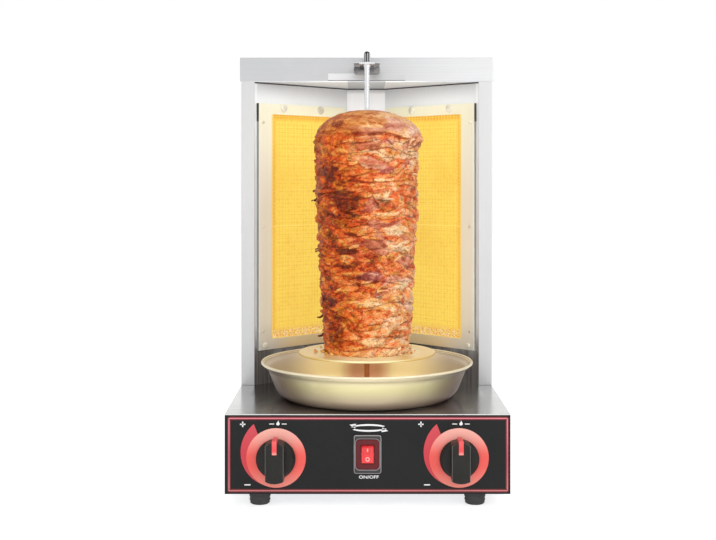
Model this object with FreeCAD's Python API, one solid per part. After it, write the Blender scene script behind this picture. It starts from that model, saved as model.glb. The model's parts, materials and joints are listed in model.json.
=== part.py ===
import FreeCAD, Part

import math
import os

from FreeCAD import Vector

# Table-top vertical broiler: two gas burner walls set in a V, a spit that a motor turns,
# a drip pan under it and a base with two gas knobs and a rocker switch.
# The model is drawn with y = 0 on the front panel's face, y growing to the back, and z = 0 on the table.
# The last step moves it so that the origin is at the middle of its footprint.

# Base
base_w = 300.0
base_d = 330.0
base_h = 84.0
shell_t = 1.2
panel_t = 1.5
panel_fold = 12.0
tray_fold = 8.0
tray_slot_l = 60.0
tray_slot_w = 5.0
tray_slot_pitch = 14.0
tray_slot_rows = 5

# Feet
foot_h = 16.0
foot_r = 12.0
foot_draft = 1.0
foot_from_side = 35.0
foot_in = 26.0
foot_well_r = 6.0
foot_well_h = 6.0

# Upper body
body_h = 392.0
column_y = 174.6
column_w = 16.0
side_t = 1.2
rear_fold = 14.0
seat_fold = 11.0
seat_fold_gap = 10.0
hood_h = 28.0
hood_t = 1.4
hood_round = 1.0
rear_cover_t = 1.0
rear_cover_gap = 3.0
vent_l = 62.0
vent_w = 5.0
vent_pitch = 16.0
vent_rows = 9
vent_x = 62.0

# Inner liner and ceiling
liner_t = 1.0
ceiling_below_hood = 1.0
liner_tuck = 12.0
strip_w = 49.0
strip_y = 281.0
ceiling_t = 1.0
ceiling_fold = 20.0

# Burners
window_in = 26.0
window_far_in = 25.35
window_up = 53.7
window_below_ceiling = 38.0
cover_t = 1.0
cover_proud = 4.0
cover_edge_out = 4.0
cover_edge_in = 5.0
cover_below = 12.7
cover_above = 13.0
screen_t = 0.8
screen_border = 4.5
screen_columns = 7
screen_rows = 19
screen_wire = 1.6
tile_lap_side = 1.75
tile_lap_end = 2.65
tile_t = 13.0
tile_joint = 0.6
tile_edge = 1.0
tile_gap = 1.0
tile_play = 1.0
burner_flange = 8.0
burner_flange_t = 1.5
burner_wall = 1.5
burner_ledge = 4.0
burner_deep = 30.5
mixer_r = 11.0
mixer_bore_r = 9.5
mixer_mouth_r = 15.0
mixer_mouth_h = 6.0
mixer_from_injector = 10.0

# Gas train
knob_from_side = 54.0
knob_up = 38.0
valve_y = 6.0
valve_l = 30.0
valve_r = 11.0
valve_boss_r = 6.0
valve_boss_up = 12.0
valve_boss_down = 12.0
plug_r = 7.5
plug_end_r = 6.5
plug_l = 17.4
plug_y = 14.3
plug_clear = 0.3
stem_r = 3.0
stem_flat = 2.2
stem_in_plug = 8.0
stem_clear = 0.3
manifold_r = 7.0
manifold_past = 16.0
manifold_from_side = 22.0
manifold_bend = 18.0
manifold_boss_h = 1.0
manifold_boss_r = 5.0
valve_inlet_in = 8.0
gas_tube_r = 3.0
gas_tube_bend = 8.0
gas_tube_rise = 14.0
injector_hex = 14.0
injector_hex_h = 6.0
injector_nozzle_r = 4.0
injector_nozzle_h = 8.0
injector_thread_r = 5.0
injector_below = 8.8
injector_jet_r = 0.8
inlet_thread_r = 6.6
inlet_thread_l = 13.0
inlet_hex = 20.0
inlet_hex_t = 8.0
inlet_neck_r = 8.0
inlet_neck_in = 4.0
inlet_bore_r = 3.0
hole_clear = 0.3

# Knobs
knob_r = 20.7
knob_skirt_t = 3.5
knob_dome_r = 17.0
knob_dome_h = 3.0
knob_grip_w = 19.0
knob_grip_h = 24.0
knob_grip_round = 2.0
knob_push = 3.0
knob_stand_off = 3.8
knob_bore_l = 15.0
knob_bore_clear = 0.1
stem_in_knob = 14.0
stem_hole_r = 6.0
pointer_w = 5.0
pointer_l = 11.5
pointer_t = 1.2
pointer_deep = 0.8
pointer_end_in = 1.2
pointer_nib = 2.8
pointer_clear = 0.1

# Rotation switch
switch_up = 42.0
switch_frame_w = 29.0
switch_frame_h = 40.5
switch_frame_t = 2.2
switch_frame_round = 2.5
switch_body_w = 26.8
switch_body_h = 35.6
switch_body_l = 20.0
switch_wall = 1.1
switch_bezel_w = 24.4
switch_bezel_h = 31.4
switch_bezel_front = 2.8
switch_bezel_back = 3.0
switch_bezel_round = 4.0
rocker_w = 12.6
rocker_r = 9.4
rocker_clear = 0.4
rocker_dip = 2.2
rocker_rise = 4.0
rocker_back = 5.0
rocker_pin_r = 1.5
rocker_pin_l = 1.5
rocker_tilt = 10.0
cutout_clear = 0.2

# Drive and spit
spit_y = 105.0
motor_r = 30.0
motor_h = 24.0
coil_r = 25.0
coil_h = 20.0
motor_bracket_w = 90.0
motor_bracket_d = 50.0
motor_bracket_t = 1.5
motor_bracket_drop = 12.0
motor_bracket_foot = 12.0
output_r = 4.0
output_in_motor = 14.0
output_in_socket = 5.0
output_hole_r = 6.5
socket_r = 9.0
socket_h = 16.0
socket_lift = 1.0
spit_square = 7.0
spit_square_clear = 0.3
spit_square_l = 10.0
rod_r = 3.0
journal_r = 3.75
journal_below_arm = 3.0
journal_above_arm = 13.2
disc_r = 77.5
disc_t = 2.5
disc_up = 51.0
disc_round = 0.8
collar_r = 9.0
collar_h = 8.0
rod_clear = 0.2

# Meat stack
meat_below_hood = 40.0
meat_low_r = 53.0
meat_high_r = 58.5
meat_cap_r = 62.5
meat_cap_h = 41.0
meat_layers = 13
meat_bulge = 1.8
meat_lip = 1.0
meat_lip_h = 5.0
meat_cheek_r = 59.7
meat_cheek_h = 17.0
meat_brow_r = 48.8
meat_brow_drop = 12.0
meat_crown_r = 26.0
meat_crown_drop = 2.8

# Drip pan
pan_rim_r = 120.0
pan_floor_r = 85.3
pan_h = 41.0
pan_t = 1.2
pan_wall_r = 112.5
pan_wall_h = 33.0
pan_wall_lean = 21.0
pan_bead_r = 2.0
pan_lip_bow = 0.8
pan_neck_r = 13.0
pan_neck_h = 15.0

# Top bracket, arm and wing bolt
arm_w = 17.6
arm_t = 1.8
arm_above_hood_edge = 13.0
arm_ahead = 9.0
arm_behind = 63.0
arm_corner = 2.5
arm_slot_l = 20.0
bracket_w = 92.0
bracket_h = 9.0
bracket_t = 1.5
tongue_w = 30.0
tongue_t = 1.8
tongue_ahead = 15.0
wing_behind = 22.0
wing_span = 30.0
wing_h = 9.5
wing_t = 4.0
wing_hub_r = 5.0
wing_hub_h = 6.0
wing_flange_r = 8.6
wing_flange_h = 2.2
wing_corner = 2.0
wing_waist = 2.5
bolt_r = 3.0
bolt_clear = 0.3
bolt_past = 2.0
nut_flats = 10.0
nut_h = 5.0

# Cable gland
gland_from_side = 50.0
gland_up = 30.0
gland_r = 8.0
gland_flange_r = 11.0
gland_flange_t = 3.0
gland_dome_l = 11.0
gland_inside_l = 8.0
gland_bore_r = 3.5
gland_nut_flats = 20.0
gland_nut_t = 4.0

# Screws
screw_r = 1.5
screw_hole_r = 1.7
small_head_r = 1.9
small_head_h = 1.2
large_head_r = 3.4
large_head_h = 1.8
screw_l = 8.0
foot_screw_r = 2.0
foot_screw_hole_r = 2.3
foot_screw_head_r = 4.2
foot_screw_head_h = 2.6
foot_screw_past = 4.0
cover_screw_in = 6.0
cover_screw_end_in = 10.0
cover_screw_top_s = (42.0, 102.5)
cover_screw_top_in = 5.0
cover_screw_low_s = 13.0
cover_screw_low_in = 5.5
hood_screw_in = 30.0
rear_screw_up = 20.0
rear_screw_down = 14.0
rear_screw_rows = 4

# Places worked out from the sizes
base_top = foot_h + base_h
body_top = base_top + body_h
column_x = base_w / 2 - column_w
wall_y = column_y + side_t
strip_x = strip_w / 2
wall_angle = math.degrees(math.atan2(strip_y - wall_y, column_x - strip_x))
wall_l = math.hypot(strip_y - wall_y, column_x - strip_x)
hood_z = body_top - hood_h
ceiling_z = hood_z - ceiling_below_hood
hood_y = column_y - hood_t
window_z = base_top + window_up
window_w = wall_l - window_in - window_far_in
window_h = ceiling_z - window_below_ceiling - window_z
window_s = window_in + window_w / 2
window_mid = window_z + window_h / 2
cover_z = window_z - cover_below
cover_top = window_z + window_h + cover_above
cover_far = wall_l - cover_edge_in
screen_n = cover_t - cover_proud
tile_n = screen_n + screen_t + tile_gap
tile_w = window_w + 2 * tile_lap_side
tile_h = (window_h + 2 * tile_lap_end - tile_joint) / 2
tiles_h = 2 * tile_h + tile_joint
box_w = tile_w + 2 * tile_play
box_h = tiles_h + 2 * tile_play
box_back = liner_t + burner_deep
foot_x = base_w / 2 - foot_from_side
knob_x = base_w / 2 - knob_from_side
manifold_run_x = base_w / 2 - manifold_from_side
gland_x = base_w / 2 - gland_from_side
knob_z = foot_h + knob_up
switch_z = foot_h + switch_up
knob_back = -knob_stand_off
knob_front = knob_back - knob_grip_h
arm_z = hood_z + arm_above_hood_edge
tongue_z = arm_z + arm_t
socket_z = base_top + socket_lift
disc_z = base_top + disc_up
meat_h = hood_z - meat_below_hood - disc_z
rear_screw_pitch = (hood_z - rear_screw_down - base_top - rear_screw_up) / (rear_screw_rows - 1)
pocket_z = socket_z + output_in_socket
wing_y = spit_y + wing_behind
manifold_y = valve_y + valve_l - valve_inlet_in
manifold_z = knob_z - valve_boss_down - manifold_boss_h - manifold_r
inlet_tip = base_d + inlet_hex_t + inlet_thread_l
middle_y = (knob_front + inlet_tip) / 2


def box(x0, x1, y0, y1, z0, z1):
    """Block between two corners."""
    return Part.makeBox(x1 - x0, y1 - y0, z1 - z0, Vector(x0, y0, z0))


def rod(radius, start, end):
    """Round bar between two points."""
    return Part.makeCylinder(radius, (end - start).Length, start, end - start)


def taper(radius_start, radius_end, start, end):
    """Cone between two points."""
    return Part.makeCone(radius_start, radius_end, (end - start).Length, start, end - start)


def prism(points, z0, z1):
    """Upright prism on a closed outline of (x, y) points."""
    ring = [Vector(x, y, z0) for x, y in points]
    return Part.Face(Part.makePolygon(ring + ring[:1])).extrude(Vector(0, 0, z1 - z0))


def hexagon(flats, start, end):
    """Hexagonal bar between two points, with two corners on its local x axis."""
    radius = flats / math.sqrt(3)
    ring = [Vector(radius * math.cos(math.radians(60 * i)), radius * math.sin(math.radians(60 * i)), 0)
            for i in range(6)]
    bar = Part.Face(Part.makePolygon(ring + ring[:1])).extrude(Vector(0, 0, (end - start).Length))
    bar.Placement = FreeCAD.Placement(start, FreeCAD.Rotation(Vector(0, 0, 1), end - start))
    return bar


def revolved(edges, x, y):
    """Solid turned about the upright line through (x, y) from edges drawn at (radius, 0, height)."""
    solid = Part.Face(Part.Wire(edges)).revolve(Vector(0, 0, 0), Vector(0, 0, 1), 360)
    solid.translate(Vector(x, y, 0))
    return solid


def line(a, b):
    """Straight edge between two points."""
    return Part.LineSegment(a, b).toShape()


def arc(a, middle, b):
    """Arc through three points."""
    return Part.Arc(a, middle, b).toShape()


def joined(shapes):
    """One solid from shapes that overlap or touch."""
    return shapes[0].multiFuse(shapes[1:]).removeSplitter()


def less(shape, tools):
    """Shape with every tool cut away."""
    return shape.cut(Part.makeCompound(tools)).removeSplitter()


def mirrored(shape):
    """The same piece on the other side of the machine."""
    return shape.mirror(Vector(0, 0, 0), Vector(1, 0, 0))


def rounded_plate(width, height, radius, y0, y1, x, z):
    """Upright plate with round corners, facing along y, centred on (x, z)."""
    plate = box(x - width / 2, x + width / 2, y0, y1, z - height / 2, z + height / 2)
    corners = [e for e in plate.Edges if e.Vertexes[0].Y != e.Vertexes[1].Y]
    return plate.makeFillet(radius, corners)


def bent_sheet(outline, thickness, z0, z1):
    """Upright sheet bent along (x, y) points, its thickness laid to the left of the line."""
    normals = []
    for (xa, ya), (xb, yb) in zip(outline, outline[1:]):
        length = math.hypot(xb - xa, yb - ya)
        normals.append(((ya - yb) / length, (xb - xa) / length))
    back = []
    for i, (x, y) in enumerate(outline):
        a, b = normals[max(i - 1, 0)], normals[min(i, len(normals) - 1)]
        share = thickness / (1 + a[0] * b[0] + a[1] * b[1])
        back.append((x + share * (a[0] + b[0]), y + share * (a[1] + b[1])))
    return prism(outline + back[::-1], z0, z1)


def bent_tube(points, radius, bend):
    """Round tube along straight runs joined by arcs of one bend radius."""
    edges = []
    here = points[0]
    for before, corner, after in zip(points, points[1:], points[2:]):
        back = (before - corner).normalize()
        on = (after - corner).normalize()
        half = back.getAngle(on) / 2
        start = corner + back * (bend / math.tan(half))
        end = corner + on * (bend / math.tan(half))
        middle = corner + (back + on).normalize() * (bend / math.sin(half) - bend)
        edges += [line(here, start), arc(start, middle, end)]
        here = end
    edges.append(line(here, points[-1]))
    ring = Part.Wire(Part.makeCircle(radius, points[0], points[1] - points[0]))
    return Part.Wire(edges).makePipeShell([ring], True, False)


def pan_screw(head_r, head_h, shank_r, length, seat, inward):
    """Screw whose low round head sits on a face at seat, with its shank going inward."""
    way = Vector(inward).normalize()
    outer = seat - way * head_h
    shoulder = seat - way * (head_h / 2)
    head = joined([rod(head_r, shoulder, seat), taper(head_r * 0.7, head_r, outer, shoulder)])
    return joined([head, rod(shank_r, seat, seat + way * length)])


def on_wall(shape):
    """Places a piece drawn on the left burner wall.

    There x runs along the wall from its outer corner, y goes into the wall from its face, and z is up.
    """
    placed = shape.copy()
    placed.rotate(Vector(0, 0, 0), Vector(0, 0, 1), wall_angle)
    placed.translate(Vector(-column_x, wall_y, 0))
    return placed


def wall_point(s, n):
    """Machine (x, y) of a place on the left burner wall."""
    angle = math.radians(wall_angle)
    return (-column_x + s * math.cos(angle) - n * math.sin(angle),
            wall_y + s * math.sin(angle) + n * math.cos(angle))


def cover_screw_places():
    """Large and small screw places on a burner cover, as (s, z)."""
    large = [(s, cover_top - cover_screw_top_in) for s in cover_screw_top_s]
    large.append((cover_screw_low_s, cover_z + cover_screw_low_in))
    heights = (window_z + cover_screw_end_in, window_mid, window_z + window_h - cover_screw_end_in)
    small = [(cover_edge_out + cover_screw_in, z) for z in heights]
    return large, small


def wall_holes(n0, n1):
    """Clearance holes for the cover screws, through everything between two depths."""
    large, small = cover_screw_places()
    return [rod(screw_hole_r, Vector(s, n0, z), Vector(s, n1, z)) for s, z in large + small]


# The mixer stands over the injector, on the knob's own line, half way into the burner box.
mixer_n = (liner_t + box_back) / 2
mixer_s = (column_x - knob_x + mixer_n * math.sin(math.radians(wall_angle))) / math.cos(math.radians(wall_angle))
mixer_y = wall_point(mixer_s, mixer_n)[1]
injector_top = base_top + injector_hex_h + injector_nozzle_h
gas_tube_z = knob_z + valve_boss_up + gas_tube_rise


def foot_places():
    """Foot centres, keyed by name."""
    return {"front_left": (-foot_x, foot_in), "front_right": (foot_x, foot_in),
            "back_left": (-foot_x, base_d - foot_in), "back_right": (foot_x, base_d - foot_in)}


def base_shell():
    """Folded top, side walls and back wall of the base, open to the front and below."""
    w = base_w / 2
    shell = box(-w, w, 0, base_d, foot_h, base_top)
    tools = [box(-w + shell_t, w - shell_t, -1, base_d - shell_t, foot_h - 1, base_top - shell_t),
             box(-w - 1, w + 1, -1, panel_t, foot_h - 1, base_top - shell_t),
             rod(output_hole_r, Vector(0, spit_y, base_top - 5), Vector(0, spit_y, base_top + 5)),
             rod(inlet_neck_r + hole_clear, Vector(manifold_run_x, base_d - 5, manifold_z),
                 Vector(manifold_run_x, base_d + 5, manifold_z)),
             rod(gland_r + hole_clear, Vector(-gland_x, base_d - 5, foot_h + gland_up),
                 Vector(-gland_x, base_d + 5, foot_h + gland_up))]
    for side in (-1, 1):
        tools.append(rod(injector_thread_r + hole_clear, Vector(side * knob_x, mixer_y, base_top - 5),
                         Vector(side * knob_x, mixer_y, base_top + 5)))
    return less(shell, tools)


def bottom_plate():
    """Tray that closes the base from below, with cooling slots and holes for the foot screws."""
    w = base_w / 2 - shell_t
    back = base_d - shell_t
    tray = box(-w, w, panel_t, back, foot_h, foot_h + shell_t + tray_fold)
    tools = [box(-w + shell_t, w - shell_t, -1, back - shell_t, foot_h + shell_t, base_top)]
    tools.append(box(-w - 1, w + 1, -1, panel_t + panel_fold + 1, foot_h + shell_t, base_top))
    for x, y in foot_places().values():
        tools.append(rod(foot_screw_hole_r, Vector(x, y, foot_h - 5), Vector(x, y, foot_h + 5)))
    for row in range(tray_slot_rows):
        y = spit_y + (row - (tray_slot_rows - 1) / 2) * tray_slot_pitch
        tools.append(box(-tray_slot_l / 2, tray_slot_l / 2, y - tray_slot_w / 2, y + tray_slot_w / 2,
                         foot_h - 1, foot_h + shell_t + 1))
    return less(tray, tools)


def front_panel():
    """Control panel with folds along its top and bottom edges."""
    w = base_w / 2
    inner = w - shell_t
    top = base_top - shell_t
    low = foot_h + shell_t
    panel = joined([box(-w, w, 0, panel_t, foot_h, top),
                    box(-inner, inner, 0, panel_t + panel_fold, top - panel_t, top),
                    box(-inner, inner, 0, panel_t + panel_fold, low, low + panel_t)])
    cut_w = switch_body_w / 2 + cutout_clear
    cut_h = switch_body_h / 2 + cutout_clear
    tools = [box(-cut_w, cut_w, -5, 5, switch_z - cut_h, switch_z + cut_h)]
    for side in (-1, 1):
        tools.append(rod(stem_hole_r, Vector(side * knob_x, -5, knob_z), Vector(side * knob_x, 5, knob_z)))
    return less(panel, tools)


def foot(x, y):
    """Rubber foot with a well for its screw."""
    body = taper(foot_r - foot_draft, foot_r, Vector(x, y, 0), Vector(x, y, foot_h))
    return less(body, [rod(foot_well_r, Vector(x, y, -1), Vector(x, y, foot_well_h)),
                       rod(foot_screw_hole_r, Vector(x, y, 0), Vector(x, y, foot_h + 1))])


def foot_screws():
    """One screw up through each foot into the bottom plate."""
    length = foot_h - foot_well_h + shell_t + foot_screw_past
    return Part.makeCompound([
        pan_screw(foot_screw_head_r, foot_screw_head_h, foot_screw_r, length,
                  Vector(x, y, foot_well_h), Vector(0, 0, 1)) for x, y in foot_places().values()])


def rear_screw_places():
    """Screws of the rear cover on one side, as heights."""
    return [base_top + rear_screw_up + row * rear_screw_pitch for row in range(rear_screw_rows)]


def side_panel():
    """Left side wall with its front column, rear fold and seat fold."""
    w = base_w / 2
    top = body_top - hood_t
    wall = bent_sheet([(-w + rear_fold, base_d), (-w, base_d), (-w, column_y), (-column_x, column_y)],
                      side_t, base_top, top)
    seat = box(-w, -w + side_t + seat_fold, wall_y + seat_fold_gap, base_d - side_t - seat_fold_gap,
               base_top, base_top + side_t)
    x = -w + rear_fold / 2
    tools = [rod(screw_hole_r, Vector(x, base_d - 5, z), Vector(x, base_d + 5, z))
             for z in rear_screw_places()]
    for y in (column_y + hood_screw_in, base_d - hood_screw_in):
        z = hood_z + hood_h / 2
        tools.append(rod(screw_hole_r, Vector(-w - 5, y, z), Vector(-w + 5, y, z)))
    return less(joined([wall, seat]), tools)


def rear_cover():
    """Rear sheet with two columns of cooling slots."""
    w = base_w / 2 - rear_cover_gap
    sheet = box(-w, w, base_d, base_d + rear_cover_t, base_top + rear_cover_gap, hood_z)
    tools = []
    middle = (base_top + hood_z) / 2
    for x in (-vent_x, vent_x):
        for row in range(vent_rows):
            z = middle + (row - (vent_rows - 1) / 2) * vent_pitch
            tools.append(box(x - vent_l / 2, x + vent_l / 2, base_d - 5, base_d + 5,
                             z - vent_w / 2, z + vent_w / 2))
    for side in (-1, 1):
        x = side * (base_w / 2 - rear_fold / 2)
        tools += [rod(screw_hole_r, Vector(x, base_d - 5, z), Vector(x, base_d + 5, z))
                  for z in rear_screw_places()]
    return less(sheet, tools)


def rear_cover_screws():
    """Screws that hold the rear cover on the side panels' folds."""
    screws = []
    for side in (-1, 1):
        x = side * (base_w / 2 - rear_fold / 2)
        screws += [pan_screw(large_head_r, large_head_h, screw_r, screw_l,
                             Vector(x, base_d + rear_cover_t, z), Vector(0, -1, 0))
                   for z in rear_screw_places()]
    return Part.makeCompound(screws)


def hood():
    """Cap over the upper body, folded down on all four sides."""
    w = base_w / 2 + hood_t
    cap = box(-w, w, hood_y, base_d + hood_t, hood_z, body_top)
    outer = [e for e in cap.Edges if max(v.Z for v in e.Vertexes) == body_top]
    cap = cap.makeFillet(hood_round, outer)
    tools = [box(-w + hood_t, w - hood_t, column_y, base_d, hood_z - 1, body_top - hood_t)]
    z = hood_z + hood_h / 2
    for y in (column_y + hood_screw_in, base_d - hood_screw_in):
        tools.append(rod(screw_hole_r, Vector(-w - 5, y, z), Vector(-w + 5, y, z)))
        tools.append(rod(screw_hole_r, Vector(w - 5, y, z), Vector(w + 5, y, z)))
    return less(cap, tools)


def body_screws():
    """Screws in the hood's sides."""
    screws = []
    w = base_w / 2 + hood_t
    z = hood_z + hood_h / 2
    for y in (column_y + hood_screw_in, base_d - hood_screw_in):
        for side in (-1, 1):
            screws.append(pan_screw(large_head_r, large_head_h, screw_r, screw_l,
                                    Vector(side * w, y, z), Vector(-side, 0, 0)))
    return Part.makeCompound(screws)


def ceiling_plate():
    """Flat ceiling on the liner's top edge, with a fold up behind the hood's front."""
    w = base_w / 2 - side_t
    back = base_d - side_t
    return joined([box(-w, w, wall_y, back, ceiling_z, ceiling_z + ceiling_t),
                   box(-column_x, column_x, column_y, wall_y, ceiling_z, ceiling_z + ceiling_t),
                   box(-column_x, column_x, column_y, column_y + ceiling_t, ceiling_z,
                       ceiling_z + ceiling_fold)])


def inner_liner():
    """Bent wall of the roasting space: tucked edge, burner wall, centre strip, burner wall, tucked edge."""
    half = [(-column_x - liner_tuck, wall_y), (-column_x, wall_y), (-strip_x, strip_y)]
    outline = half + [(-x, y) for x, y in half[::-1]]
    sheet = bent_sheet(outline, liner_t, base_top, ceiling_z)
    hole = box(window_s - box_w / 2, window_s + box_w / 2, -5, 5,
               window_mid - box_h / 2, window_mid + box_h / 2)
    left = [on_wall(tool) for tool in [hole] + wall_holes(-5, 5)]
    return less(sheet, left + [mirrored(tool) for tool in left])


def burner_cover():
    """Shallow tray with a window, its edges folded back to the liner."""
    front = -cover_proud
    tray = box(cover_edge_out, cover_far, front, 0, cover_z, cover_top)
    half = window_w / 2
    tools = [box(cover_edge_out + cover_t, cover_far - cover_t, front + cover_t, 1,
                 cover_z + cover_t, cover_top - cover_t),
             box(window_s - half, window_s + half, front - 5, 5, window_z, window_z + window_h)]
    return on_wall(less(tray, tools + wall_holes(-10, 0)))


def burner_cover_screws():
    """Screws of both burner covers."""
    large, small = cover_screw_places()
    left = []
    for places, head_r, head_h in ((large, large_head_r, large_head_h), (small, small_head_r, small_head_h)):
        for s, z in places:
            left.append(on_wall(pan_screw(head_r, head_h, screw_r, screw_l,
                                          Vector(s, -cover_proud, z), Vector(0, 1, 0))))
    return Part.makeCompound(left + [mirrored(screw) for screw in left])


def mesh_screen():
    """Wire screen behind the cover's window: a border and a grid of square gaps."""
    half_w = window_w / 2 + screen_border
    half_h = window_h / 2 + screen_border
    sheet = box(window_s - half_w, window_s + half_w, screen_n, screen_n + screen_t,
                window_mid - half_h, window_mid + half_h)
    pitch_w = window_w / screen_columns
    pitch_h = window_h / screen_rows
    gaps = []
    for column in range(screen_columns):
        s = window_s - window_w / 2 + (column + 0.5) * pitch_w
        for row in range(screen_rows):
            z = window_z + (row + 0.5) * pitch_h
            gaps.append(box(s - (pitch_w - screen_wire) / 2, s + (pitch_w - screen_wire) / 2,
                            screen_n - 1, screen_n + screen_t + 1,
                            z - (pitch_h - screen_wire) / 2, z + (pitch_h - screen_wire) / 2))
    return on_wall(less(sheet, gaps))


def ceramic_tiles():
    """Two tiles of one burner, one above the other, with eased front edges."""
    tiles = []
    for z in (window_mid - tile_joint / 2 - tile_h, window_mid + tile_joint / 2):
        tile = box(window_s - tile_w / 2, window_s + tile_w / 2, tile_n, tile_n + tile_t, z, z + tile_h)
        front = [e for e in tile.Edges if max(v.Y for v in e.Vertexes) == tile_n]
        tiles.append(on_wall(tile.makeChamfer(tile_edge, front)))
    return Part.makeCompound(tiles)


def burner_box():
    """Cast box behind the tiles: flange, seat for the tiles, gas chamber and a hole for the mixer."""
    outer_w, outer_h = box_w / 2 + burner_wall, box_h / 2 + burner_wall
    inner_w, inner_h = box_w / 2 - burner_ledge, box_h / 2 - burner_ledge
    flange_w, flange_h = outer_w + burner_flange, outer_h + burner_flange
    seat = tile_n + tile_t
    z = window_mid
    s = window_s
    body = joined([box(s - outer_w, s + outer_w, liner_t, box_back, z - outer_h, z + outer_h),
                   box(s - flange_w, s + flange_w, liner_t, liner_t + burner_flange_t, z - flange_h, z + flange_h)])
    tools = [box(s - box_w / 2, s + box_w / 2, liner_t - 1, seat, z - box_h / 2, z + box_h / 2),
             box(s - inner_w, s + inner_w, seat - 1, box_back - burner_wall, z - inner_h, z + inner_h),
             rod(mixer_bore_r, Vector(mixer_s, mixer_n, z - outer_h - 1), Vector(mixer_s, mixer_n, z - inner_h + 1))]
    return on_wall(less(body, tools + wall_holes(0, liner_t + screw_l)))


def mixing_tube():
    """Upright mixing tube with a bell mouth over the injector."""
    top = window_mid - box_h / 2 - burner_wall
    low = injector_top + mixer_from_injector - mixer_mouth_h
    shoulder = low + mixer_mouth_h
    wall = mixer_r - mixer_bore_r
    at = [Vector(-knob_x, mixer_y, z) for z in (low, shoulder, top)]
    outside = joined([taper(mixer_mouth_r, mixer_r, at[0], at[1]), rod(mixer_r, at[1], at[2])])
    bore = joined([taper(mixer_mouth_r - wall, mixer_bore_r, at[0], at[1]), rod(mixer_bore_r, at[1], at[2])])
    return less(outside, [bore])


def injector():
    """Brass injector through the base's top, with a hexagon and a fine jet."""
    at = [Vector(-knob_x, mixer_y, z) for z in (
        base_top - injector_below, base_top, base_top + injector_hex_h, injector_top)]
    body = joined([rod(injector_thread_r, at[0], at[1]), hexagon(injector_hex, at[1], at[2]),
                   taper(injector_nozzle_r, injector_nozzle_r / 2, at[2], at[3])])
    return less(body, [rod(injector_jet_r, at[0], at[3] + Vector(0, 0, 1))])


def gas_tube():
    """Tube from the valve's upper boss to the injector's thread."""
    y = valve_y + valve_l / 2
    return bent_tube([Vector(-knob_x, y, knob_z + valve_boss_up), Vector(-knob_x, y, gas_tube_z),
                      Vector(-knob_x, mixer_y, gas_tube_z), Vector(-knob_x, mixer_y, base_top - injector_below)],
                     gas_tube_r, gas_tube_bend)


def gas_manifold():
    """Pipe under both valves and back to the inlet, with a boss for each valve."""
    pipe = bent_tube([Vector(-knob_x - manifold_past, manifold_y, manifold_z),
                      Vector(manifold_run_x, manifold_y, manifold_z),
                      Vector(manifold_run_x, base_d - shell_t - inlet_neck_in, manifold_z)],
                     manifold_r, manifold_bend)
    bosses = [rod(manifold_boss_r, Vector(side * knob_x, manifold_y, manifold_z),
                  Vector(side * knob_x, manifold_y, knob_z - valve_boss_down)) for side in (-1, 1)]
    return joined([pipe] + bosses)


def gas_inlet_fitting():
    """Brass bulkhead fitting with a hexagon and an outer thread for the hose."""
    def at(y):
        return Vector(manifold_run_x, y, manifold_z)
    body = joined([rod(inlet_neck_r, at(base_d - shell_t - inlet_neck_in), at(base_d)),
                   hexagon(inlet_hex, at(base_d), at(base_d + inlet_hex_t)),
                   rod(inlet_thread_r, at(base_d + inlet_hex_t), at(inlet_tip))])
    return less(body, [rod(inlet_bore_r, at(0), at(inlet_tip + 1))])


def gas_valve():
    """Valve body with a stem bore, a plug seat, an upper outlet boss and a lower inlet boss."""
    def at(y):
        return Vector(-knob_x, y, knob_z)
    outlet_y = valve_y + valve_l / 2
    body = joined([rod(valve_r, at(valve_y), at(valve_y + valve_l)),
                   rod(valve_boss_r, Vector(-knob_x, outlet_y, knob_z),
                       Vector(-knob_x, outlet_y, knob_z + valve_boss_up)),
                   rod(valve_boss_r, Vector(-knob_x, manifold_y, knob_z - valve_boss_down),
                       Vector(-knob_x, manifold_y, knob_z))])
    plug_end = plug_y + plug_l
    seat = taper(plug_r + plug_clear, plug_end_r + plug_clear, at(plug_y - plug_clear), at(plug_end + plug_clear))
    return less(body, [rod(stem_r + stem_clear, at(valve_y - 1), at(plug_y)), seat])


def d_bar(radius, flat, start, end):
    """Round bar along y with one flat below its axis."""
    bar = rod(radius, start, end)
    return bar.cut(box(start.x - 2 * radius, start.x + 2 * radius, min(start.y, end.y) - 1, max(start.y, end.y) + 1,
                       start.z - 3 * radius, start.z - flat))


def valve_plug():
    """Tapered plug that the stem turns, with its gas passage across."""
    def at(y):
        return Vector(-knob_x, y, knob_z)
    body = taper(plug_r, plug_end_r, at(plug_y), at(plug_y + plug_l))
    deep = stem_in_plug + knob_push + 2 * stem_clear
    socket = d_bar(stem_r + stem_clear, stem_flat + stem_clear, at(plug_y - 1), at(plug_y + deep))
    port_y = plug_y + (deep + plug_l) / 2
    port = rod(screw_r, Vector(-knob_x, port_y, knob_z - plug_r), Vector(-knob_x, port_y, knob_z + plug_r))
    return less(body, [socket, port])


def valve_stem():
    """Stem with one flat, from inside the knob into the plug."""
    return d_bar(stem_r, stem_flat, Vector(-knob_x, knob_back - stem_in_knob, knob_z),
                 Vector(-knob_x, plug_y + stem_in_plug, knob_z))


def pointer_block(clear):
    """Pointer insert on the upper part of the grip's face and over its end, grown by a clearance."""
    low_x, high_x = -knob_x - pointer_w / 2 - clear, -knob_x + pointer_w / 2 + clear
    front = knob_front + pointer_deep - pointer_t
    top = knob_z + knob_r
    return joined([box(low_x, high_x, front, knob_front + pointer_deep, top - pointer_l - clear, top),
                   box(low_x, high_x, front, knob_back - knob_skirt_t + clear, top - pointer_end_in - clear,
                       top + pointer_nib)])


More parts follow.
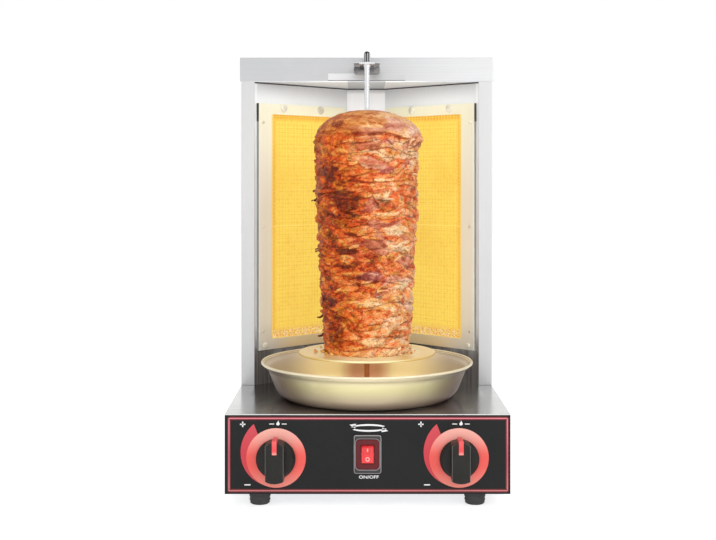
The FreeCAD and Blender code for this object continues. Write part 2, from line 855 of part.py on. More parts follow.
def knob():
    """Round knob with a grip bar across it, a pocket for the pointer and a bore for the stem."""
    def at(y):
        return Vector(-knob_x, y, knob_z)
    skirt_y = knob_back - knob_skirt_t
    skirt = joined([rod(knob_r, at(knob_back), at(skirt_y)),
                    taper(knob_r, knob_dome_r, at(skirt_y), at(skirt_y - knob_dome_h))])
    round_bar = rod(knob_r, at(knob_back), at(knob_front))
    grip = round_bar.common(box(-knob_x - knob_grip_w / 2, -knob_x + knob_grip_w / 2, knob_front, knob_back,
                                knob_z - knob_r, knob_z + knob_r))
    rim = [e for e in grip.Edges if max(v.Y for v in e.Vertexes) < knob_front + 0.01]
    grip = grip.makeFillet(knob_grip_round, rim)
    bore = d_bar(stem_r + knob_bore_clear, stem_flat + knob_bore_clear, at(knob_back + 1),
                 at(knob_back - knob_bore_l))
    return less(joined([skirt, grip]), [bore, pointer_block(pointer_clear)])


def knob_pointer():
    """Coloured pointer insert."""
    return pointer_block(0)


def switch_frame():
    """Moulded switch body with a front flange, hollow behind the bezel."""
    seat = switch_bezel_back
    flange = rounded_plate(switch_frame_w, switch_frame_h, switch_frame_round, -switch_frame_t, 0, 0, switch_z)
    half_w, half_h = switch_body_w / 2, switch_body_h / 2
    body = box(-half_w, half_w, 0, switch_body_l, switch_z - half_h, switch_z + half_h)
    pocket = rounded_plate(switch_bezel_w + 2 * pointer_clear, switch_bezel_h + 2 * pointer_clear,
                           switch_bezel_round, -switch_frame_t - 1, seat, 0, switch_z)
    hollow_w = switch_bezel_w / 2 - switch_wall
    hollow_h = switch_bezel_h / 2 - switch_wall
    hollow = box(-hollow_w, hollow_w, seat - 1, switch_body_l - switch_wall,
                 switch_z - hollow_h, switch_z + hollow_h)
    return less(joined([flange, body]), [pocket, hollow])


def switch_bezel():
    """Surround with a window for the rocker and a bearing for its pin on each side."""
    plate = rounded_plate(switch_bezel_w, switch_bezel_h, switch_bezel_round,
                          -switch_bezel_front, switch_bezel_back, 0, switch_z)
    half_w = rocker_w / 2 + rocker_clear
    half_h = rocker_r + rocker_clear
    pin_x = rocker_w / 2 + rocker_pin_l + rocker_clear
    return less(plate, [box(-half_w, half_w, -10, 10, switch_z - half_h, switch_z + half_h),
                        rod(rocker_pin_r + hole_clear, Vector(-pin_x, 0, switch_z), Vector(pin_x, 0, switch_z))])


def rocker():
    """Rocker with a dished face, round ends about its pins, resting on its lower half."""
    drum = rod(rocker_r, Vector(-rocker_w / 2, 0, 0), Vector(rocker_w / 2, 0, 0))
    far = 2 * rocker_r
    slope = (rocker_rise - rocker_dip) / rocker_r
    face = [Vector(0, -rocker_dip, 0), Vector(0, -rocker_dip - slope * far, far), Vector(0, -far, far),
            Vector(0, -far, -far), Vector(0, -rocker_dip - slope * far, -far)]
    front = Part.Face(Part.makePolygon(face + face[:1])).extrude(Vector(2 * rocker_w, 0, 0))
    front.translate(Vector(-rocker_w, 0, 0))
    back = box(-rocker_w, rocker_w, rocker_back, far, -far, far)
    pin_x = rocker_w / 2 + rocker_pin_l
    body = joined([less(drum, [front, back]), rod(rocker_pin_r, Vector(-pin_x, 0, 0), Vector(pin_x, 0, 0))])
    body.rotate(Vector(0, 0, 0), Vector(1, 0, 0), rocker_tilt)
    body.translate(Vector(0, 0, switch_z))
    return body


def motor_bracket():
    """Hat bracket that hangs the motor under the base's top."""
    w = motor_bracket_w / 2
    d = motor_bracket_d / 2
    t = motor_bracket_t
    top = base_top - shell_t
    low = top - motor_bracket_drop
    hat = joined([box(-w, w, spit_y - d, spit_y + d, low - t, low),
                  box(-w, -w + t, spit_y - d, spit_y + d, low - t, top),
                  box(w - t, w, spit_y - d, spit_y + d, low - t, top),
                  box(-w - motor_bracket_foot, -w + t, spit_y - d, spit_y + d, top - t, top),
                  box(w - t, w + motor_bracket_foot, spit_y - d, spit_y + d, top - t, top)])
    return less(hat, [rod(output_hole_r, Vector(0, spit_y, low - 5), Vector(0, spit_y, low + 5))])


def motor_housing():
    """Gearbox and coil housing under the bracket, with a bore for the output shaft."""
    top = base_top - shell_t - motor_bracket_drop - motor_bracket_t
    low = top - motor_h
    body = joined([rod(motor_r, Vector(0, spit_y, low), Vector(0, spit_y, top)),
                   rod(coil_r, Vector(0, spit_y, low - coil_h), Vector(0, spit_y, low))])
    return less(body, [rod(output_r + hole_clear, Vector(0, spit_y, top - output_in_motor - hole_clear),
                           Vector(0, spit_y, top + 1))])


def output_shaft():
    """Shaft from the gearbox up into the drive socket."""
    low = base_top - shell_t - motor_bracket_drop - motor_bracket_t - output_in_motor
    return rod(output_r, Vector(0, spit_y, low), Vector(0, spit_y, pocket_z))


def drive_socket():
    """Coupling on the shaft with a square pocket for the spit's foot."""
    body = rod(socket_r, Vector(0, spit_y, socket_z), Vector(0, spit_y, socket_z + socket_h))
    half = spit_square / 2 + spit_square_clear
    return less(body, [rod(output_r, Vector(0, spit_y, socket_z - 1), Vector(0, spit_y, pocket_z)),
                       box(-half, half, spit_y - half, spit_y + half, pocket_z, socket_z + socket_h + 1)])


def spit_rod():
    """Spit with a square foot, a round shank and a thicker domed journal through the arm."""
    half = spit_square / 2
    foot_z = pocket_z + spit_square_clear
    journal_z = arm_z - journal_below_arm
    tip_z = arm_z + arm_t + journal_above_arm
    dome_z = tip_z - journal_r
    dome = Part.makeSphere(journal_r, Vector(0, spit_y, dome_z), Vector(0, 0, 1), 0, 90, 360)
    return joined([box(-half, half, spit_y - half, spit_y + half, foot_z, foot_z + spit_square_l),
                   rod(rod_r, Vector(0, spit_y, foot_z), Vector(0, spit_y, journal_z)),
                   rod(journal_r, Vector(0, spit_y, journal_z), Vector(0, spit_y, dome_z)), dome])


def disc_collar():
    """Collar on the spit that carries the meat disc."""
    top = disc_z - disc_t
    body = rod(collar_r, Vector(0, spit_y, top - collar_h), Vector(0, spit_y, top))
    return less(body, [rod(rod_r + rod_clear, Vector(0, spit_y, top - collar_h - 1), Vector(0, spit_y, top + 1)),
                       rod(screw_r, Vector(0, spit_y, top - collar_h / 2),
                           Vector(0, spit_y - 2 * collar_r, top - collar_h / 2))])


def meat_disc():
    """Round plate under the meat."""
    body = rod(disc_r, Vector(0, spit_y, disc_z - disc_t), Vector(0, spit_y, disc_z))
    rims = [e for e in body.Edges if e.Length > disc_r and len(e.Vertexes) == 1]
    body = body.makeFillet(disc_round, rims)
    return less(body, [rod(rod_r + rod_clear, Vector(0, spit_y, disc_z - 2 * disc_t), Vector(0, spit_y, disc_z + 1))])


def meat_stack():
    """Stacked slices on the spit: bulging layers that widen to the top, under a domed cap."""
    inner = rod_r + rod_clear
    cap_z = disc_z + meat_h - meat_cap_h
    top = disc_z + meat_h
    layer_h = (cap_z - disc_z) / meat_layers
    edges = [line(Vector(inner, 0, disc_z), Vector(meat_low_r, 0, disc_z))]
    for layer in range(meat_layers):
        low_r = meat_low_r + (meat_high_r - meat_low_r) * layer / meat_layers
        high_r = meat_low_r + (meat_high_r - meat_low_r) * (layer + 1) / meat_layers
        z = disc_z + layer * layer_h
        edges.append(arc(Vector(low_r, 0, z), Vector((low_r + high_r) / 2 + meat_bulge, 0, z + layer_h / 2),
                         Vector(high_r, 0, z + layer_h)))
    lip = Vector(meat_cap_r - meat_lip, 0, cap_z + meat_lip)
    shoulder = Vector(meat_cap_r, 0, cap_z + meat_lip_h)
    brow = Vector(meat_brow_r, 0, top - meat_brow_drop)
    edges.append(line(Vector(meat_high_r, 0, cap_z), lip))
    edges.append(line(lip, shoulder))
    edges.append(arc(shoulder, Vector(meat_cheek_r, 0, cap_z + meat_cheek_h), brow))
    edges.append(arc(brow, Vector(meat_crown_r, 0, top - meat_crown_drop), Vector(inner, 0, top)))
    edges.append(line(Vector(inner, 0, top), Vector(inner, 0, disc_z)))
    return revolved(edges, 0, spit_y)


def drip_pan():
    """Round pan with a rounded foot, a leaning wall, a flared lip, a beaded rim and a neck round the drive socket."""
    z = base_top
    lean = math.radians(pan_wall_lean)
    up = Vector(math.sin(lean), 0, math.cos(lean))
    inward = Vector(-up.z, 0, up.x)
    floor = Vector(pan_floor_r, 0, z)
    top = Vector(pan_wall_r, 0, z + pan_wall_h)
    corner = Vector(pan_wall_r - pan_wall_h * math.tan(lean), 0, z)
    reach = corner.x - floor.x
    foot = corner + up * reach
    middle = floor + Vector(0, 0, reach / math.tan((math.pi / 2 - lean) / 2))
    turn = (middle - floor).Length
    bow = (corner - middle).normalize()
    rim = Vector(pan_rim_r - pan_bead_r, 0, z + pan_h - pan_bead_r)
    run = (rim - top).normalize()
    side = Vector(-run.z, 0, run.x)
    flare = (top + rim) * 0.5 + side * pan_lip_bow
    t = pan_t
    neck_in_r, neck_out_r, neck_z = pan_neck_r, pan_neck_r + t, z + pan_neck_h
    edges = [line(Vector(neck_in_r, 0, z), floor), arc(floor, middle + bow * turn, foot), line(foot, top),
             arc(top, flare, rim), line(rim, rim + side * t), arc(rim + side * t, flare + side * t, top + inward * t),
             line(top + inward * t, foot + inward * t),
             arc(foot + inward * t, middle + bow * (turn - t), floor + Vector(0, 0, t)),
             line(floor + Vector(0, 0, t), Vector(neck_out_r, 0, z + t)),
             line(Vector(neck_out_r, 0, z + t), Vector(neck_out_r, 0, neck_z)),
             line(Vector(neck_out_r, 0, neck_z), Vector(neck_in_r, 0, neck_z)),
             line(Vector(neck_in_r, 0, neck_z), Vector(neck_in_r, 0, z))]
    bead = Part.makeTorus(pan_rim_r - pan_bead_r, pan_bead_r, Vector(0, spit_y, z + pan_h - pan_bead_r))
    return joined([revolved(edges, 0, spit_y), bead])


def top_bracket():
    """Flange on the hood's front, a riser and a tongue that carries the arm."""
    front = hood_y - bracket_t
    half = tongue_w / 2
    body = joined([box(-bracket_w / 2, bracket_w / 2, front, hood_y, hood_z, hood_z + bracket_h),
                   box(-half, half, front, hood_y, hood_z, tongue_z + tongue_t),
                   box(-half, half, wing_y - tongue_ahead, hood_y, tongue_z, tongue_z + tongue_t)])
    return less(body, [rod(bolt_r + bolt_clear, Vector(0, wing_y, tongue_z - 5), Vector(0, wing_y, tongue_z + 5))])


def spit_arm():
    """Flat arm with a bearing hole for the spit and a slot for the wing bolt."""
    w = arm_w / 2
    front = spit_y - arm_ahead
    back = spit_y + arm_behind
    c = arm_corner
    plate = prism([(-w + c, front), (w - c, front), (w, front + c), (w, back), (-w, back), (-w, front + c)],
                  arm_z, arm_z + arm_t)
    r = bolt_r + bolt_clear
    low, high = Vector(0, wing_y - arm_slot_l / 4, arm_z - 1), Vector(0, wing_y + arm_slot_l * 3 / 4, arm_z - 1)
    up = Vector(0, 0, arm_t + 2)
    slot = joined([rod(r, low, low + up), rod(r, high, high + up),
                   box(-r, r, low.y, high.y, arm_z - 1, arm_z + arm_t + 1)])
    bearing = rod(journal_r + hole_clear, Vector(0, spit_y, arm_z - 1), Vector(0, spit_y, arm_z + arm_t + 1))
    return less(plate, [slot, bearing])


def wing_bolt():
    """Bolt with two flat wings and a flange, up through the arm, the tongue and the nut."""
    top = arm_z
    low = top - wing_h
    half = wing_span / 2
    c = wing_corner
    outline = [Vector(-wing_hub_r / 2, 0, low), Vector(-half + c, 0, low), Vector(-half, 0, low + c),
               Vector(-half, 0, top - c), Vector(-half + c, 0, top), Vector(-wing_hub_r, 0, top - wing_waist)]
    outline += [Vector(-p.x, 0, p.z) for p in outline[::-1]]
    wings = Part.Face(Part.makePolygon(outline + outline[:1])).extrude(Vector(0, wing_t, 0))
    wings.translate(Vector(0, wing_y - wing_t / 2, 0))
    hub = rod(wing_hub_r, Vector(0, wing_y, top - wing_hub_h), Vector(0, wing_y, top))
    end = tongue_z + tongue_t + nut_h + bolt_past
    flange = rod(wing_flange_r, Vector(0, wing_y, top - wing_flange_h), Vector(0, wing_y, top))
    return joined([hub, flange, wings, rod(bolt_r, Vector(0, wing_y, top - wing_hub_h), Vector(0, wing_y, end))])


def clamp_nut():
    """Nut on the tongue."""
    low = Vector(0, wing_y, tongue_z + tongue_t)
    high = low + Vector(0, 0, nut_h)
    up = Vector(0, 0, 1)
    return less(hexagon(nut_flats, low, high), [rod(bolt_r + bolt_clear, low - up, high + up)])


def cable_gland():
    """Gland in the back wall, with a flange and a dome outside and a nut inside."""
    def at(y):
        return Vector(-gland_x, y, foot_h + gland_up)
    inside = base_d - shell_t
    body = joined([rod(gland_r, at(inside - gland_inside_l), at(base_d)),
                   hexagon(gland_nut_flats, at(inside - gland_nut_t), at(inside)),
                   rod(gland_flange_r, at(base_d), at(base_d + gland_flange_t)),
                   taper(gland_r, gland_bore_r + 2, at(base_d + gland_flange_t), at(base_d + gland_dome_l))])
    return less(body, [rod(gland_bore_r, at(inside - gland_inside_l - 1), at(base_d + gland_dome_l + 1))])


def pieces():
    """Every piece of the machine, keyed by its name."""
    made = {
        "base_shell": base_shell(), "base_bottom_plate": bottom_plate(), "front_panel": front_panel(),
        "foot_screws": foot_screws(), "rear_cover": rear_cover(), "rear_cover_screws": rear_cover_screws(),
        "hood": hood(), "ceiling_plate": ceiling_plate(), "inner_liner": inner_liner(),
        "burner_cover_screws": burner_cover_screws(), "body_screws": body_screws(),
        "gas_manifold": gas_manifold(), "gas_inlet_fitting": gas_inlet_fitting(),
        "switch_frame": switch_frame(), "switch_bezel": switch_bezel(), "rocker": rocker(),
        "motor_bracket": motor_bracket(), "motor_housing": motor_housing(), "output_shaft": output_shaft(),
        "drive_socket": drive_socket(), "spit_rod": spit_rod(), "disc_collar": disc_collar(),
        "meat_disc": meat_disc(), "meat_stack": meat_stack(), "drip_pan": drip_pan(),
        "top_bracket": top_bracket(), "spit_arm": spit_arm(), "wing_bolt": wing_bolt(),
        "clamp_nut": clamp_nut(), "cable_gland": cable_gland(),
    }
    for name, (x, y) in foot_places().items():
        made["foot_" + name] = foot(x, y)
    both_sides = {
        "side_panel": side_panel, "burner_cover": burner_cover, "mesh_screen": mesh_screen,
        "ceramic_tiles": ceramic_tiles, "burner_box": burner_box, "mixing_tube": mixing_tube,
        "injector": injector, "gas_tube": gas_tube, "gas_valve": gas_valve, "valve_plug": valve_plug,
        "valve_stem": valve_stem, "knob": knob, "knob_pointer": knob_pointer,
    }
    for name, make in both_sides.items():
        left = make()
        made[name + "_left"] = left
        made[name + "_right"] = mirrored(left)
    return made


os.makedirs("parts", exist_ok=True)
for node, shape in pieces().items():
    shape.translate(Vector(0, -middle_y, 0))
    shape.exportStep(f"parts/{node}.step")
print(f"origin lies {middle_y:.3f} mm behind the front panel's face")
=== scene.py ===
"""Tabletop vertical broiler: two burner walls, a motor-driven spit, a drip pan and a control panel.

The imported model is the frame. This script dresses it. The meat, the wire screens, the knobs, the pan and
the small hardware get finished meshes, every piece gets its material, and a plain studio is set up.
"""
import json
import logging
import math
import random
from dataclasses import dataclass
from enum import Enum
from typing import Any, Callable, Iterable, Sequence

import bmesh
import bpy
from mathutils import Matrix, Vector, noise


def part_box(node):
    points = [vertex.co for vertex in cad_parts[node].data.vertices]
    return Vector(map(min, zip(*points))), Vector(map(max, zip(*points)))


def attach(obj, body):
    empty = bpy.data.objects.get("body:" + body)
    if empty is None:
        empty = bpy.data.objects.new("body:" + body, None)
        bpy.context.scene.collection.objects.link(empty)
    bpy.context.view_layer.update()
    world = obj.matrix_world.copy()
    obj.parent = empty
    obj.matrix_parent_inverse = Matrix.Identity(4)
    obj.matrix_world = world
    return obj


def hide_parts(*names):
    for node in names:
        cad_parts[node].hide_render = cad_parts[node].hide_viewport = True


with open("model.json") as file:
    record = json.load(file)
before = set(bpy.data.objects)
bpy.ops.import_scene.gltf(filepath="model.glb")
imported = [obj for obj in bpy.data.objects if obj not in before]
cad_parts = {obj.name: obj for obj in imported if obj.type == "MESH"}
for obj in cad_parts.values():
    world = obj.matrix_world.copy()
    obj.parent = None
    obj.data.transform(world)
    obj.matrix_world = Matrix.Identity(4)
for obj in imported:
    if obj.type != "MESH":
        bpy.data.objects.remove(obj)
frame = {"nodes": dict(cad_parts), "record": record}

log = logging.getLogger("broiler")

Colour = tuple[float, float, float, float]
MM = 0.001
SIDES = ("left", "right")
SPIT = Vector((0.0, -0.0566, 0.0))
WALL_CORNER = Vector((0.134, 0.0142, 0.0))
WALL_ANGLE = math.atan2(105.2, 109.5)


def tone(red: int, green: int, blue: int) -> Colour:
    """Linear colour of an eight-bit screen colour.

    Args:
        red: Red, 0 to 255.
        green: Green, 0 to 255.
        blue: Blue, 0 to 255.

    Returns:
        Linear red, green, blue and an alpha of 1.
    """
    linear = [(c / 255 / 12.92) if c <= 10 else ((c / 255 + 0.055) / 1.055) ** 2.4 for c in (red, green, blue)]
    return (linear[0], linear[1], linear[2], 1.0)


def smoothstep(low: float, high: float, value: float) -> float:
    """Smooth rise from 0 at low to 1 at high."""
    t = min(max((value - low) / (high - low), 0.0), 1.0)
    return t * t * (3 - 2 * t)


def side_sign(side: str) -> int:
    """-1 for the left side and 1 for the right one."""
    return -1 if side == "left" else 1


class Tree:
    """Short calls for building a node tree."""

    def __init__(self, tree: bpy.types.NodeTree) -> None:
        """Keeps the tree that the calls add to."""
        self.tree = tree

    def add(self, kind: str, inputs: dict[Any, Any] | None = None, **settings: Any) -> bpy.types.Node:
        """Adds a node, sets it up and feeds its sockets.

        Args:
            kind: The node's type name.
            inputs: Socket name or number, with a value or the socket that feeds it.
            **settings: The node's own options.

        Returns:
            The new node.
        """
        node = self.tree.nodes.new(kind)
        for name, value in settings.items():
            setattr(node, name, value)
        for key, value in (inputs or {}).items():
            if isinstance(value, bpy.types.NodeSocket):
                self.tree.links.new(value, node.inputs[key])
            else:
                node.inputs[key].default_value = value
        return node

    def math(self, operation: str, a: Any, b: Any = 0.0, c: Any = 0.0, clamp: bool = False) -> bpy.types.NodeSocket:
        """Result of a Math node."""
        return self.add("ShaderNodeMath", {0: a, 1: b, 2: c}, operation=operation, use_clamp=clamp).outputs[0]

    def mix(self, factor: Any, a: Any, b: Any, blend: str = "MIX") -> bpy.types.NodeSocket:
        """Colour between a and b."""
        node = self.add("ShaderNodeMix", {0: factor, 6: a, 7: b}, data_type="RGBA", blend_type=blend)
        return node.outputs[2]

    def fade(self, value: Any, low: float, high: float, start: float = 0.0, end: float = 1.0) -> bpy.types.NodeSocket:
        """Smooth change from start to end while value goes from low to high."""
        node = self.add("ShaderNodeMapRange", {0: value, 1: low, 2: high, 3: start, 4: end},
                        interpolation_type="SMOOTHSTEP")
        return node.outputs[0]

    def noise(self, vector: Any, scale: float, detail: float = 3.0, rough: float = 0.55,
              swirl: float = 0.0) -> bpy.types.NodeSocket:
        """Value of a noise texture."""
        node = self.add("ShaderNodeTexNoise", {"Vector": vector, "Scale": scale, "Detail": detail, "Roughness": rough,
                                               "Distortion": swirl})
        return node.outputs[0]

    def stretch(self, vector: Any, scale: Sequence[float]) -> bpy.types.NodeSocket:
        """Vector scaled along each axis."""
        return self.add("ShaderNodeVectorMath", {0: vector, 1: tuple(scale)}, operation="MULTIPLY").outputs[0]

    def ramp(self, factor: Any, stops: Sequence[tuple[float, Colour]]) -> bpy.types.NodeSocket:
        """Colour of a ramp with the given stops."""
        node = self.add("ShaderNodeValToRGB", {0: factor})
        elements = node.color_ramp.elements
        while len(elements) < len(stops):
            elements.new(0.5)
        for element, (place, colour) in zip(elements, stops):
            element.position = place
            element.color = colour
        return node.outputs[0]

    def place(self) -> bpy.types.NodeSocket:
        """Object coordinates, in metres."""
        return self.add("ShaderNodeTexCoord").outputs["Object"]

    def attribute(self, name: str) -> bpy.types.NodeSocket:
        """Value of a mesh attribute."""
        return self.add("ShaderNodeAttribute", attribute_name=name).outputs["Fac"]


class Effect(Enum):
    """Surface effects that several materials share, each one a node group."""

    GRAIN = "brushed_grain"
    SMUDGE = "smudge"
    SPECKLE = "speckle"
    BURNER_GLOW = "burner_glow"


class EffectBook:
    """Builds each shared node group once and places it in materials."""

    def __init__(self) -> None:
        """Starts with no group built."""
        self.groups: dict[Effect, bpy.types.NodeTree] = {}

    def use(self, tree: Tree, effect: Effect, inputs: dict[str, Any]) -> bpy.types.Node:
        """Places an effect in a tree.

        Args:
            tree: The material's tree.
            effect: Which effect.
            inputs: The group's socket values.

        Returns:
            The group's node.
        """
        if effect not in self.groups:
            self.groups[effect] = getattr(self, "_" + effect.value)()
        group = tree.add("ShaderNodeGroup", node_tree=self.groups[effect])
        for key, value in inputs.items():
            if isinstance(value, bpy.types.NodeSocket):
                tree.tree.links.new(value, group.inputs[key])
            else:
                group.inputs[key].default_value = value
        return group

    def _start(self, effect: Effect, values: Sequence[tuple[str, str]],
               results: Sequence[str]) -> tuple[bpy.types.NodeTree, Tree, bpy.types.Node]:
        """New group with its sockets and its input node."""
        group = bpy.data.node_groups.new(effect.value, "ShaderNodeTree")
        for name, kind in values:
            group.interface.new_socket(name, in_out="INPUT", socket_type=kind)
        for name in results:
            group.interface.new_socket(name, in_out="OUTPUT", socket_type="NodeSocketFloat")
        tree = Tree(group)
        return group, tree, tree.add("NodeGroupInput")

    def _brushed_grain(self) -> bpy.types.NodeTree:
        """Fine parallel brush lines, with a few longer and deeper ones."""
        group, tree, given = self._start(
            Effect.GRAIN, [("Vector", "NodeSocketVector"), ("Stretch", "NodeSocketVector")], ["Lines", "Height"])
        along = tree.add("ShaderNodeVectorMath", {0: given.outputs[0], 1: given.outputs[1]},
                         operation="MULTIPLY").outputs[0]
        fine = tree.noise(along, 1.0, 2.0, 0.7)
        coarse = tree.noise(along, 0.28, 2.0, 0.6)
        lines = tree.math("ADD", tree.math("MULTIPLY", fine, 0.6), tree.math("MULTIPLY", coarse, 0.4))
        tree.add("NodeGroupOutput", {0: tree.fade(lines, 0.35, 0.65), 1: fine})
        return group

    def _smudge(self) -> bpy.types.NodeTree:
        """Soft uneven patches, as from wiping and handling."""
        group, tree, given = self._start(
            Effect.SMUDGE, [("Vector", "NodeSocketVector"), ("Scale", "NodeSocketFloat")], ["Mask"])
        node = tree.add("ShaderNodeTexNoise", {"Vector": given.outputs[0], "Scale": given.outputs[1],
                                               "Detail": 4.0, "Roughness": 0.62, "Distortion": 0.6})
        tree.add("NodeGroupOutput", {0: tree.fade(node.outputs[0], 0.34, 0.68)})
        return group

    def _speckle(self) -> bpy.types.NodeTree:
        """Small round specks, as in cast metal or moulded rubber."""
        group, tree, given = self._start(
            Effect.SPECKLE, [("Vector", "NodeSocketVector"), ("Scale", "NodeSocketFloat")], ["Mask"])
        cells = tree.add("ShaderNodeTexVoronoi", {"Vector": given.outputs[0], "Scale": given.outputs[1]})
        tree.add("NodeGroupOutput", {0: tree.fade(cells.outputs[0], 0.15, 0.55, 1.0, 0.0)})
        return group

    def _burner_glow(self) -> bpy.types.NodeTree:
        """Where burner light is painted onto the metal, with a straw tint: strong beside the windows, fading above,
        below and outwards.
        """
        group, tree, given = self._start(Effect.BURNER_GLOW, [("Vector", "NodeSocketVector")], ["Mask"])
        split = tree.add("ShaderNodeSeparateXYZ", {0: given.outputs[0]})
        low = tree.fade(split.outputs[2], 0.10, 0.20)
        high = tree.fade(split.outputs[2], 0.42, 0.445, 1.0, 0.35)
        deep = tree.fade(split.outputs[1], -0.02, 0.06)
        tree.add("NodeGroupOutput", {0: tree.math("MULTIPLY", tree.math("MULTIPLY", low, high), deep)})
        return group


EFFECTS = EffectBook()


@dataclass(frozen=True)
class Finish:
    """A surface finish. Its material is built once, by its name."""

    name: str

    def material(self) -> bpy.types.Material:
        """The finish's material, built on first use."""
        found = bpy.data.materials.get("finish_" + self.name)
        if found:
            return found
        made = bpy.data.materials.new("finish_" + self.name)
        made.use_nodes = True
        made.node_tree.nodes.clear()
        tree = Tree(made.node_tree)
        shader = tree.add("ShaderNodeBsdfPrincipled", {"Specular IOR Level": self.sheen_level()})
        self.dress(tree, shader)
        tree.add("ShaderNodeOutputMaterial", {0: shader.outputs[0]})
        return made

    def sheen_level(self) -> float:
        """How strongly the surface mirrors, 0.5 for common plastics and glazes."""
        return 0.5

    def dress(self, tree: Tree, shader: bpy.types.Node) -> None:
        """Feeds the shader. Each finish does this its own way."""
        raise NotImplementedError

    @staticmethod
    def feed(tree: Tree, shader: bpy.types.Node, values: dict[str, Any]) -> None:
        """Sets or links the shader's sockets by name."""
        for key, value in values.items():
            if isinstance(value, bpy.types.NodeSocket):
                tree.tree.links.new(value, shader.inputs[key])
            else:
                shader.inputs[key].default_value = value

    @staticmethod
    def bump(tree: Tree, height: Any, distance: float, strength: float = 1.0) -> bpy.types.NodeSocket:
        """Normal bent by a height."""
        return tree.add("ShaderNodeBump", {"Height": height, "Distance": distance, "Strength": strength}).outputs[0]

    @staticmethod
    def gentle_glow(tree: Tree, colour: bpy.types.NodeSocket, spill: float) -> bpy.types.NodeSocket:
        """Glow that shows in its own colour and lights its surroundings in a paler one."""
        seen = tree.add("ShaderNodeLightPath").outputs["Is Camera Ray"]
        return tree.mix(seen, (0.90 * spill, spill, 1.04 * spill, 1.0), colour)


@dataclass(frozen=True)
class BrushedSteel(Finish):
    """Brushed stainless sheet with soft smudges."""

    light: Colour = tone(232, 232, 230)
    dark: Colour = tone(205, 206, 206)
    grain: tuple[float, float, float] = (1400.0, 1400.0, 18.0)
    rough: float = 0.34
    metallic: float = 1.0

    def dress(self, tree: Tree, shader: bpy.types.Node) -> None:
        """Brush lines vary colour, roughness and height."""
        place = tree.place()
        lines = EFFECTS.use(tree, Effect.GRAIN, {"Vector": place, "Stretch": self.grain})
        smudge = EFFECTS.use(tree, Effect.SMUDGE, {"Vector": place, "Scale": 7.0}).outputs[0]
        base = tree.mix(tree.math("MULTIPLY", smudge, 0.4), self.light, self.dark)
        base = self.shade(tree, place, base)
        base = tree.mix(tree.math("MULTIPLY", lines.outputs[0], 0.22), base, self.dark)
        rough = tree.math("ADD", tree.math("MULTIPLY", smudge, 0.06), self.rough - 0.03)
        rough = tree.math("ADD", tree.math("MULTIPLY", lines.outputs[0], 0.08), rough)
        self.feed(tree, shader, {"Base Color": base, "Roughness": rough, "Metallic": self.metallic,
                                 "Normal": self.bump(tree, lines.outputs[1], 0.00004, 0.5)})

    def shade(self, tree: Tree, place: bpy.types.NodeSocket, base: bpy.types.NodeSocket) -> bpy.types.NodeSocket:
        """Extra change of colour over the sheet. Plain sheets have none."""
        return base


@dataclass(frozen=True)
class UprightSteel(BrushedSteel):
    """Side sheets and columns: painted shade darkens them towards the foot, so they are brighter towards the top."""

    # Colour of the painted shade at the foot.
    low: Colour = tone(186, 187, 187)

    def shade(self, tree: Tree, place: bpy.types.NodeSocket, base: bpy.types.NodeSocket) -> bpy.types.NodeSocket:
        """Painted shade: darkens the sheet towards its foot."""
        height = tree.add("ShaderNodeSeparateXYZ", {0: place}).outputs[2]
        return tree.mix(tree.fade(height, 0.10, 0.42, 1.0, 0.0), base, self.low)


@dataclass(frozen=True)
class HoodSteel(BrushedSteel):
    """The hood: painted light makes it brighter to the right."""

    # Colour of the painted light on the right.
    bright: Colour = tone(228, 229, 229)

    def shade(self, tree: Tree, place: bpy.types.NodeSocket, base: bpy.types.NodeSocket) -> bpy.types.NodeSocket:
        """Painted light: lightens the sheet from its middle to the right."""
        across = tree.add("ShaderNodeSeparateXYZ", {0: place}).outputs[0]
        return tree.mix(tree.fade(across, -0.02, 0.12, 0.0, 0.8), base, self.bright)


@dataclass(frozen=True)
class DeckSteel(BrushedSteel):
    """The base's shell: stainless, its top darkened round the pan and between the columns by painted shade with a
    grease tint.
    """

    tint_and_shade: Colour = tone(166, 167, 168)

    def shade(self, tree: Tree, place: bpy.types.NodeSocket, base: bpy.types.NodeSocket) -> bpy.types.NodeSocket:
        """Painted shade with a grease tint darkens the top towards the pan and between the columns, less towards the
        right, and one painted highlight spot is added.
        """
        away = tree.add("ShaderNodeVectorMath", {0: place, 1: (0.0, SPIT.y + 0.02, 0.1)}, operation="DISTANCE").outputs[1]
        split = tree.add("ShaderNodeSeparateXYZ", {0: place})
        between = tree.math("MULTIPLY", tree.fade(split.outputs[1], -0.085, -0.03),
                            tree.fade(tree.math("ABSOLUTE", split.outputs[0]), 0.1325, 0.1345, 1.0, 0.0))
        near = tree.math("MAXIMUM", tree.fade(away, 0.095, 0.150, 1.0, 0.0), between)
        near = tree.math("MULTIPLY", near, tree.fade(split.outputs[2], 0.0985, 0.0996))
        patch = EFFECTS.use(tree, Effect.SMUDGE, {"Vector": place, "Scale": 14.0}).outputs[0]
        near = tree.math("MULTIPLY", near, tree.math("ADD", tree.math("MULTIPLY", patch, 0.25), 0.75), clamp=True)
        # Painted shade with a grease tint; painted light takes it away towards the right.
        tint_and_shade = tree.mix(tree.fade(split.outputs[0], 0.03, 0.12), self.tint_and_shade, tone(250, 250, 250))
        base = tree.mix(near, base, tint_and_shade)
        # Painted highlight: one bright spot on the top at the front right.
        spot = tree.add("ShaderNodeVectorMath", {0: tree.stretch(place, (1.0, 4.0, 0.0)), 1: (0.107, -0.554, 0.0)},
                        operation="DISTANCE").outputs[1]
        return tree.mix(tree.fade(spot, 0.004, 0.013, 0.9, 0.0), base, tone(252, 252, 250))


